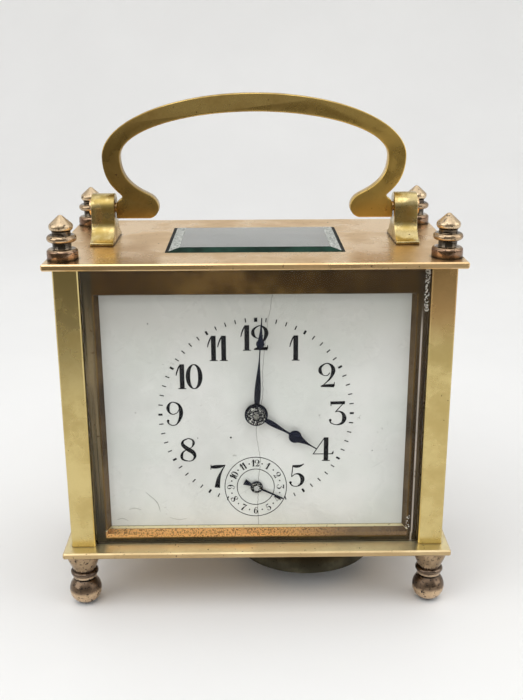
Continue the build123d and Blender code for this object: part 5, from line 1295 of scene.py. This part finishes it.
@dataclass
class Fittings:
    """Turned collets of the hands, and the screws and jewels of the movement."""

    workshop: Workshop
    steps: int = 40
    screw_radius_mm: float = 1.25
    screw_high_mm: float = 0.55
    slot_mm: float = 0.32
    jewel_radius_mm: float = 0.75
    platform_mm: float = 1.6
    screw_inset_mm: float = 2.3
    cock_screw_mm: tuple[float, float] = (0.7, 10.4)
    glass_slope_mm: tuple[float, float] = (4.3, 0.9)
    chip_count: int = 140
    bushed: tuple[str, ...] = ("centre_wheel", "third_wheel", "contrate_wheel", "alarm_strike_wheel",
                               "alarm_set_arbor")

    def turned(self, outline: tuple[tuple[float, float], ...], seat: Vector, axis: Vector, name: str, finish: str,
               body: Body, slot: Slot) -> None:
        """Spin an outline about an axis.

        Args:
            outline: along the axis from the seat, and radius, in millimetres.
            seat: where the axis leaves its seat.
            axis: the way that the piece stands out.
            name: the piece's name.
            finish: the finish's name.
            body: what it rides on.
            slot: the record's slot that it stands for.
        """
        mesh = bmesh.new()
        side = axis.orthogonal().normalized()
        verts = [bmesh.ops.create_vert(mesh, co=seat + axis * along * MM + side * radius * MM)["vert"][0]
                 for along, radius in outline]
        edges = [mesh.edges.new(pair) for pair in zip(verts, verts[1:])]
        bmesh.ops.spin(mesh, geom=[*verts, *edges], cent=seat, axis=axis, angle=2 * math.pi, steps=self.steps,
                       use_merge=True)
        bmesh.ops.remove_doubles(mesh, verts=mesh.verts, dist=0.001 * MM)
        self.workshop.piece(mesh, name, finish, body, slot, sharp=50.0)

    def screws(self, spots: list[Vector], axis: Vector, turns: tuple[float, ...], name: str, finish: str) -> None:
        """Set slotted screw heads on a plate, each a disc with two rounded halves on it.

        Args:
            spots: where each head sits.
            axis: the way that the heads stand out.
            turns: the slots' angles, taken in turn.
            name: the piece's name.
            finish: the finish's name.
        """
        mesh = bmesh.new()
        stand = axis.to_track_quat("Z", "Y").to_matrix().to_4x4()
        radius, high, slot = (size * MM for size in (self.screw_radius_mm, self.screw_high_mm, self.slot_mm))
        for index, spot in enumerate(spots):
            place = Matrix.Translation(spot) @ stand @ Matrix.Rotation(turns[index % len(turns)], 4, "Z")
            bmesh.ops.create_cone(mesh, cap_ends=True, segments=28, radius1=radius * 0.96, radius2=radius * 0.96,
                                  depth=high * 0.5, matrix=place @ Matrix.Translation((0.0, 0.0, high * 0.25)))
            for side in (0.0, math.pi):
                half = place @ Matrix.Rotation(side, 4, "Z")
                reach = math.acos(slot / 2 / radius)
                rim = [(radius * math.sin(angle), radius * math.cos(angle))
                       for angle in (reach * (step / 8 - 1.0) for step in range(17))]
                verts = [bmesh.ops.create_vert(mesh, co=half @ Vector((x, y, high * 0.4)))["vert"][0]
                         for x, y in rim]
                face = mesh.faces.new(verts)
                pulled = bmesh.ops.extrude_face_region(mesh, geom=[face])["geom"]
                raised = [item for item in pulled if isinstance(item, bmesh.types.BMVert)]
                bmesh.ops.translate(mesh, verts=raised, vec=axis * high * 0.6)
                top = next(item for item in pulled if isinstance(item, bmesh.types.BMFace))
                bmesh.ops.inset_region(mesh, faces=[top], thickness=0.12 * MM, depth=0.06 * MM)
        self.workshop.piece(mesh, name, finish, Body.CASE, Slot.STEEL)

    def jewels(self, spots: list[Vector], name: str) -> None:
        """Set domed ruby jewels in the platform."""
        mesh = bmesh.new()
        for spot in spots:
            radius = self.jewel_radius_mm * MM
            bmesh.ops.create_uvsphere(mesh, u_segments=20, v_segments=10, radius=radius,
                                      matrix=Matrix.Translation(spot) @ Matrix.Diagonal((1, 1, 0.35, 1)))
        self.workshop.piece(mesh, name, "jewel", Body.CASE, Slot.PLATFORM)

    def hub(self) -> None:
        """Fit the collets and the nut on the hands."""
        front = Vector((0.0, -1.0, 0.0))
        low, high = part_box("centre_arbor")
        hand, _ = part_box("minute_hand")
        seat = Vector(((low[0] + high[0]) / 2, hand[1], (low[2] + high[2]) / 2))
        self.turned(COLLET_MM, seat, front, "minute_collet", "hub_steel", Body.HANDS, Slot.BLUED)
        self.turned(NUT_MM, seat, front, "hand_nut", "nut_brass", Body.HANDS, Slot.STEEL)
        low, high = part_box("alarm_set_arbor")
        hand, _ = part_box("alarm_hand")
        seat = Vector(((low[0] + high[0]) / 2, hand[1], (low[2] + high[2]) / 2))
        self.turned(ALARM_COLLET_MM, seat, front, "alarm_collet", "hub_steel", Body.ALARM, Slot.BLUED)

    def platform(self) -> None:
        """Screw the platform down, and jewel it."""
        up = Vector((0.0, 0.0, 1.0))
        low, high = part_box("platform")
        _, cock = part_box("balance_cock")
        _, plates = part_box("movement_back_plate")
        top = plates[2] + self.platform_mm * MM
        inset = self.screw_inset_mm * MM
        corners = [Vector((x, y, top)) for x in (low[0] + inset, high[0] - inset)
                   for y in (low[1] + inset, high[1] - inset)]
        self.screws(corners, up, (0.4, 1.9, 2.6, 1.1), "platform_corner_screws", "steel")
        low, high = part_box("balance")
        middle = Vector(((low[0] + high[0]) / 2, (low[1] + high[1]) / 2, cock[2]))
        self.screws([middle + Vector((-self.cock_screw_mm[0] * MM, self.cock_screw_mm[1] * MM, 0.0))], up, (0.7,),
                    "cock_screw", "blued_steel")
        low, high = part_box("escape_wheel")
        _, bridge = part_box("platform")
        self.jewels([middle, Vector(((low[0] + high[0]) / 2, (low[1] + high[1]) / 2, bridge[2]))],
                    "platform_jewels")

    def bushes(self) -> None:
        """Fit bushes with oil sinks round the arbors in the back plate."""
        _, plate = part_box("platform")
        for node in self.bushed:
            low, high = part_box(node)
            seat = Vector(((low[0] + high[0]) / 2, plate[1], (low[2] + high[2]) / 2))
            self.turned(BUSH_MM, seat, Vector((0.0, 1.0, 0.0)), "bush_" + node, "case_brass", Body.CASE, Slot.GILT)

    def chips(self) -> None:
        """Chip the front glass along its right edge and near its lower right corner."""
        chance = random.Random(11)
        low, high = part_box("front_glass")
        slope = self.glass_slope_mm[1] / self.glass_slope_mm[0]
        mesh = bmesh.new()
        for index in range(self.chip_count):
            if index % 9:
                inwards = chance.uniform(1.75, 3.1)
                z = high[2] - (1.0 + 13.0 * chance.random() ** 1.4) * MM
            else:
                inwards = chance.uniform(4.4, 5.9)
                z = low[2] + chance.uniform(5.2, 9.8) * MM
            y = low[1] + max(0.0, self.glass_slope_mm[1] - slope * inwards) * MM
            size = chance.uniform(0.09, 0.3) * MM
            turn = Matrix.Rotation(chance.uniform(0.0, math.pi), 4, "Y")
            place = Matrix.Translation((high[0] - inwards * MM, y, z)) @ turn @ Matrix.Rotation(math.pi / 2, 4, "X")
            stretch = Matrix.Diagonal((1.0, chance.uniform(0.4, 1.0), 1.0, 1.0))
            bmesh.ops.create_cone(mesh, cap_ends=True, segments=5, radius1=size, radius2=size * 0.5,
                                  depth=0.05 * MM, matrix=place @ stretch)
        self.workshop.piece(mesh, "glass_chips", "chip_white", Body.CASE, Slot.GLASS)

    def build(self) -> None:
        """Fit everything."""
        self.hub()
        self.platform()
        self.bushes()
        self.chips()


@dataclass
class Studio:
    """The floor, the backdrop, the lamps, the world and the camera."""

    floor_front: float = -0.75
    pale_to_y: tuple[float, float] = (-0.40, -0.24)
    pale_slant: float = 0.5
    paper_dim: float = 0.07
    floor_back: float = 0.9
    floor_half: float = 1.2
    sweep: float = 0.35
    wall_height: float = 0.9
    camera_place: tuple[float, float, float] = (-0.00142, -0.30063, 0.17571)
    camera_yaw: float = 0.0115
    camera_pitch: float = 0.3143
    camera_roll: float = -0.0039
    lens_mm: float = 48.29
    sensor_mm: float = 36.0

    def floor(self) -> None:
        """Lay a white sheet that sweeps up behind the clock."""
        mesh = bmesh.new()
        ends = [bmesh.ops.create_vert(mesh, co=(side * self.floor_half, self.floor_front, 0.0))["vert"][0]
                for side in (-1, 1)]
        edge = mesh.edges.new(ends)
        steps = 12
        path = [(self.floor_back - self.sweep, 0.0)]
        for index in range(1, steps + 1):
            angle = math.pi / 2 * index / steps
            path.append((self.floor_back - self.sweep + self.sweep * math.sin(angle),
                         self.sweep - self.sweep * math.cos(angle)))
        path.append((self.floor_back, self.wall_height))
        for y, z in path:
            pulled = bmesh.ops.extrude_edge_only(mesh, edges=[edge])["geom"]
            edge = next(item for item in pulled if isinstance(item, bmesh.types.BMEdge))
            for vert in edge.verts:
                vert.co.y = y
                vert.co.z = z
        for face in mesh.faces:
            face.smooth = True
        data = bpy.data.meshes.new("paper")
        mesh.to_mesh(data)
        mesh.free()
        sheet = bpy.data.objects.new("paper", data)
        bpy.context.scene.collection.objects.link(sheet)
        material = bpy.data.materials.new("white_paper")
        material.use_nodes = True
        graph = Graph(material.node_tree)
        shader = material.node_tree.nodes["Principled BSDF"]
        shader.inputs["Roughness"].default_value = 0.9
        place = graph.add("ShaderNodeTexCoord").outputs["Object"]
        colour = graph.mix(graph.ranged(graph.noise(place, 6.0), 0.3, 0.7), (0.87, 0.87, 0.865), (0.90, 0.90, 0.895))
        flat = graph.where()
        along = graph.sum("ADD", flat["Y"], graph.sum("MULTIPLY", flat["X"], self.pale_slant))
        pale = graph.sum("MAXIMUM", graph.rays("Camera", "Transmission"), graph.ranged(along, *self.pale_to_y))
        colour = graph.mix(pale, (0.08, 0.066, 0.04), colour)
        seen = graph.rays("Camera", "Glossy", "Transmission")
        colour = graph.mix(graph.sum("MULTIPLY", seen, self.paper_dim), colour, (0.0, 0.0, 0.0))
        graph.join(colour, shader.inputs["Base Color"])
        data.materials.append(material)

    def lamp(self, name: str, place: Vector, aim: Vector, size: float, power: float) -> None:
        """Hang one soft lamp.

        Args:
            name: the lamp's name.
            place: where it hangs.
            aim: the point that it faces.
            size: the length of its sides.
            power: its power in watts.
        """
        data = bpy.data.lights.new(name, "AREA")
        data.shape = "SQUARE"
        data.size = size
        data.energy = power
        lamp = bpy.data.objects.new(name, data)
        bpy.context.scene.collection.objects.link(lamp)
        turn = (aim - place).to_track_quat("-Z", "Y").to_matrix().to_4x4()
        lamp.matrix_world = Matrix.Translation(place) @ turn

    def world(self) -> None:
        """Light from all round: pale behind the clock and dark in front of it."""
        world = bpy.data.worlds.new("studio")
        bpy.context.scene.world = world
        world.use_nodes = True
        graph = Graph(world.node_tree)
        ground = world.node_tree.nodes["Background"]
        ray = graph.add("ShaderNodeTexCoord").outputs["Generated"]
        parts = graph.add("ShaderNodeSeparateXYZ")
        graph.join(ray, parts.inputs[0])
        behind = graph.ranged(parts.outputs["Y"], -0.35, 0.5)
        above = graph.ranged(parts.outputs["Z"], -0.1, 0.5)
        front = graph.mix(above, (0.15, 0.13, 0.09), (0.46, 0.46, 0.46))
        seen = (0.84, 0.84, 0.83)
        back = graph.mix(graph.rays("Camera", "Glossy", "Transmission"), (0.8, 0.8, 0.79), seen)
        colour = graph.mix(graph.rays("Camera", "Transmission"), graph.mix(behind, front, back), seen)
        graph.join(colour, ground.inputs["Color"])
        ground.inputs["Strength"].default_value = 1.0

    def camera(self) -> None:
        """Stand the camera where the photograph was taken from."""
        yaw, pitch, roll = self.camera_yaw, self.camera_pitch, self.camera_roll
        ahead = Vector((math.sin(yaw) * math.cos(pitch), math.cos(yaw) * math.cos(pitch), -math.sin(pitch)))
        right = Vector((math.cos(yaw), -math.sin(yaw), 0.0))
        above = right.cross(ahead)
        level = right * math.cos(roll) + above * math.sin(roll)
        upright = above * math.cos(roll) - right * math.sin(roll)
        data = bpy.data.cameras.new("camera")
        data.lens = self.lens_mm
        data.sensor_width = self.sensor_mm
        data.clip_start = 0.01
        camera = bpy.data.objects.new("camera", data)
        bpy.context.scene.collection.objects.link(camera)
        turn = Matrix((level, upright, -ahead)).transposed().to_4x4()
        camera.matrix_world = Matrix.Translation(self.camera_place) @ turn
        bpy.context.scene.camera = camera

    def build(self) -> None:
        """Set up the studio."""
        self.camera()
        self.floor()
        self.world()
        middle = Vector((0.0, 0.0, 0.07))
        self.lamp("overhead", Vector((0.1, -0.1, 1.1)), middle, 1.5, 4.0)
        self.lamp("front", Vector((-0.2, -0.68, 1.2)), middle, 1.0, 4.5)
        self.lamp("left", Vector((-0.9, -0.45, 0.55)), middle, 0.9, 4.1)
        self.lamp("right", Vector((0.95, -0.3, 0.5)), middle, 0.9, 3.6)
        bpy.context.scene.view_settings.view_transform = "Standard"


def main() -> None:
    """Build the clock's looks in order."""
    logging.basicConfig(level=logging.INFO, format="%(name)s: %(message)s")
    workshop = Workshop(Finishes())
    for part in (Studio(), Case(workshop), Movement(workshop), DialPrinting(workshop), Fittings(workshop)):
        part.build()
        log.info("%s done", type(part).__name__)


if __name__ == "__main__":
    main()
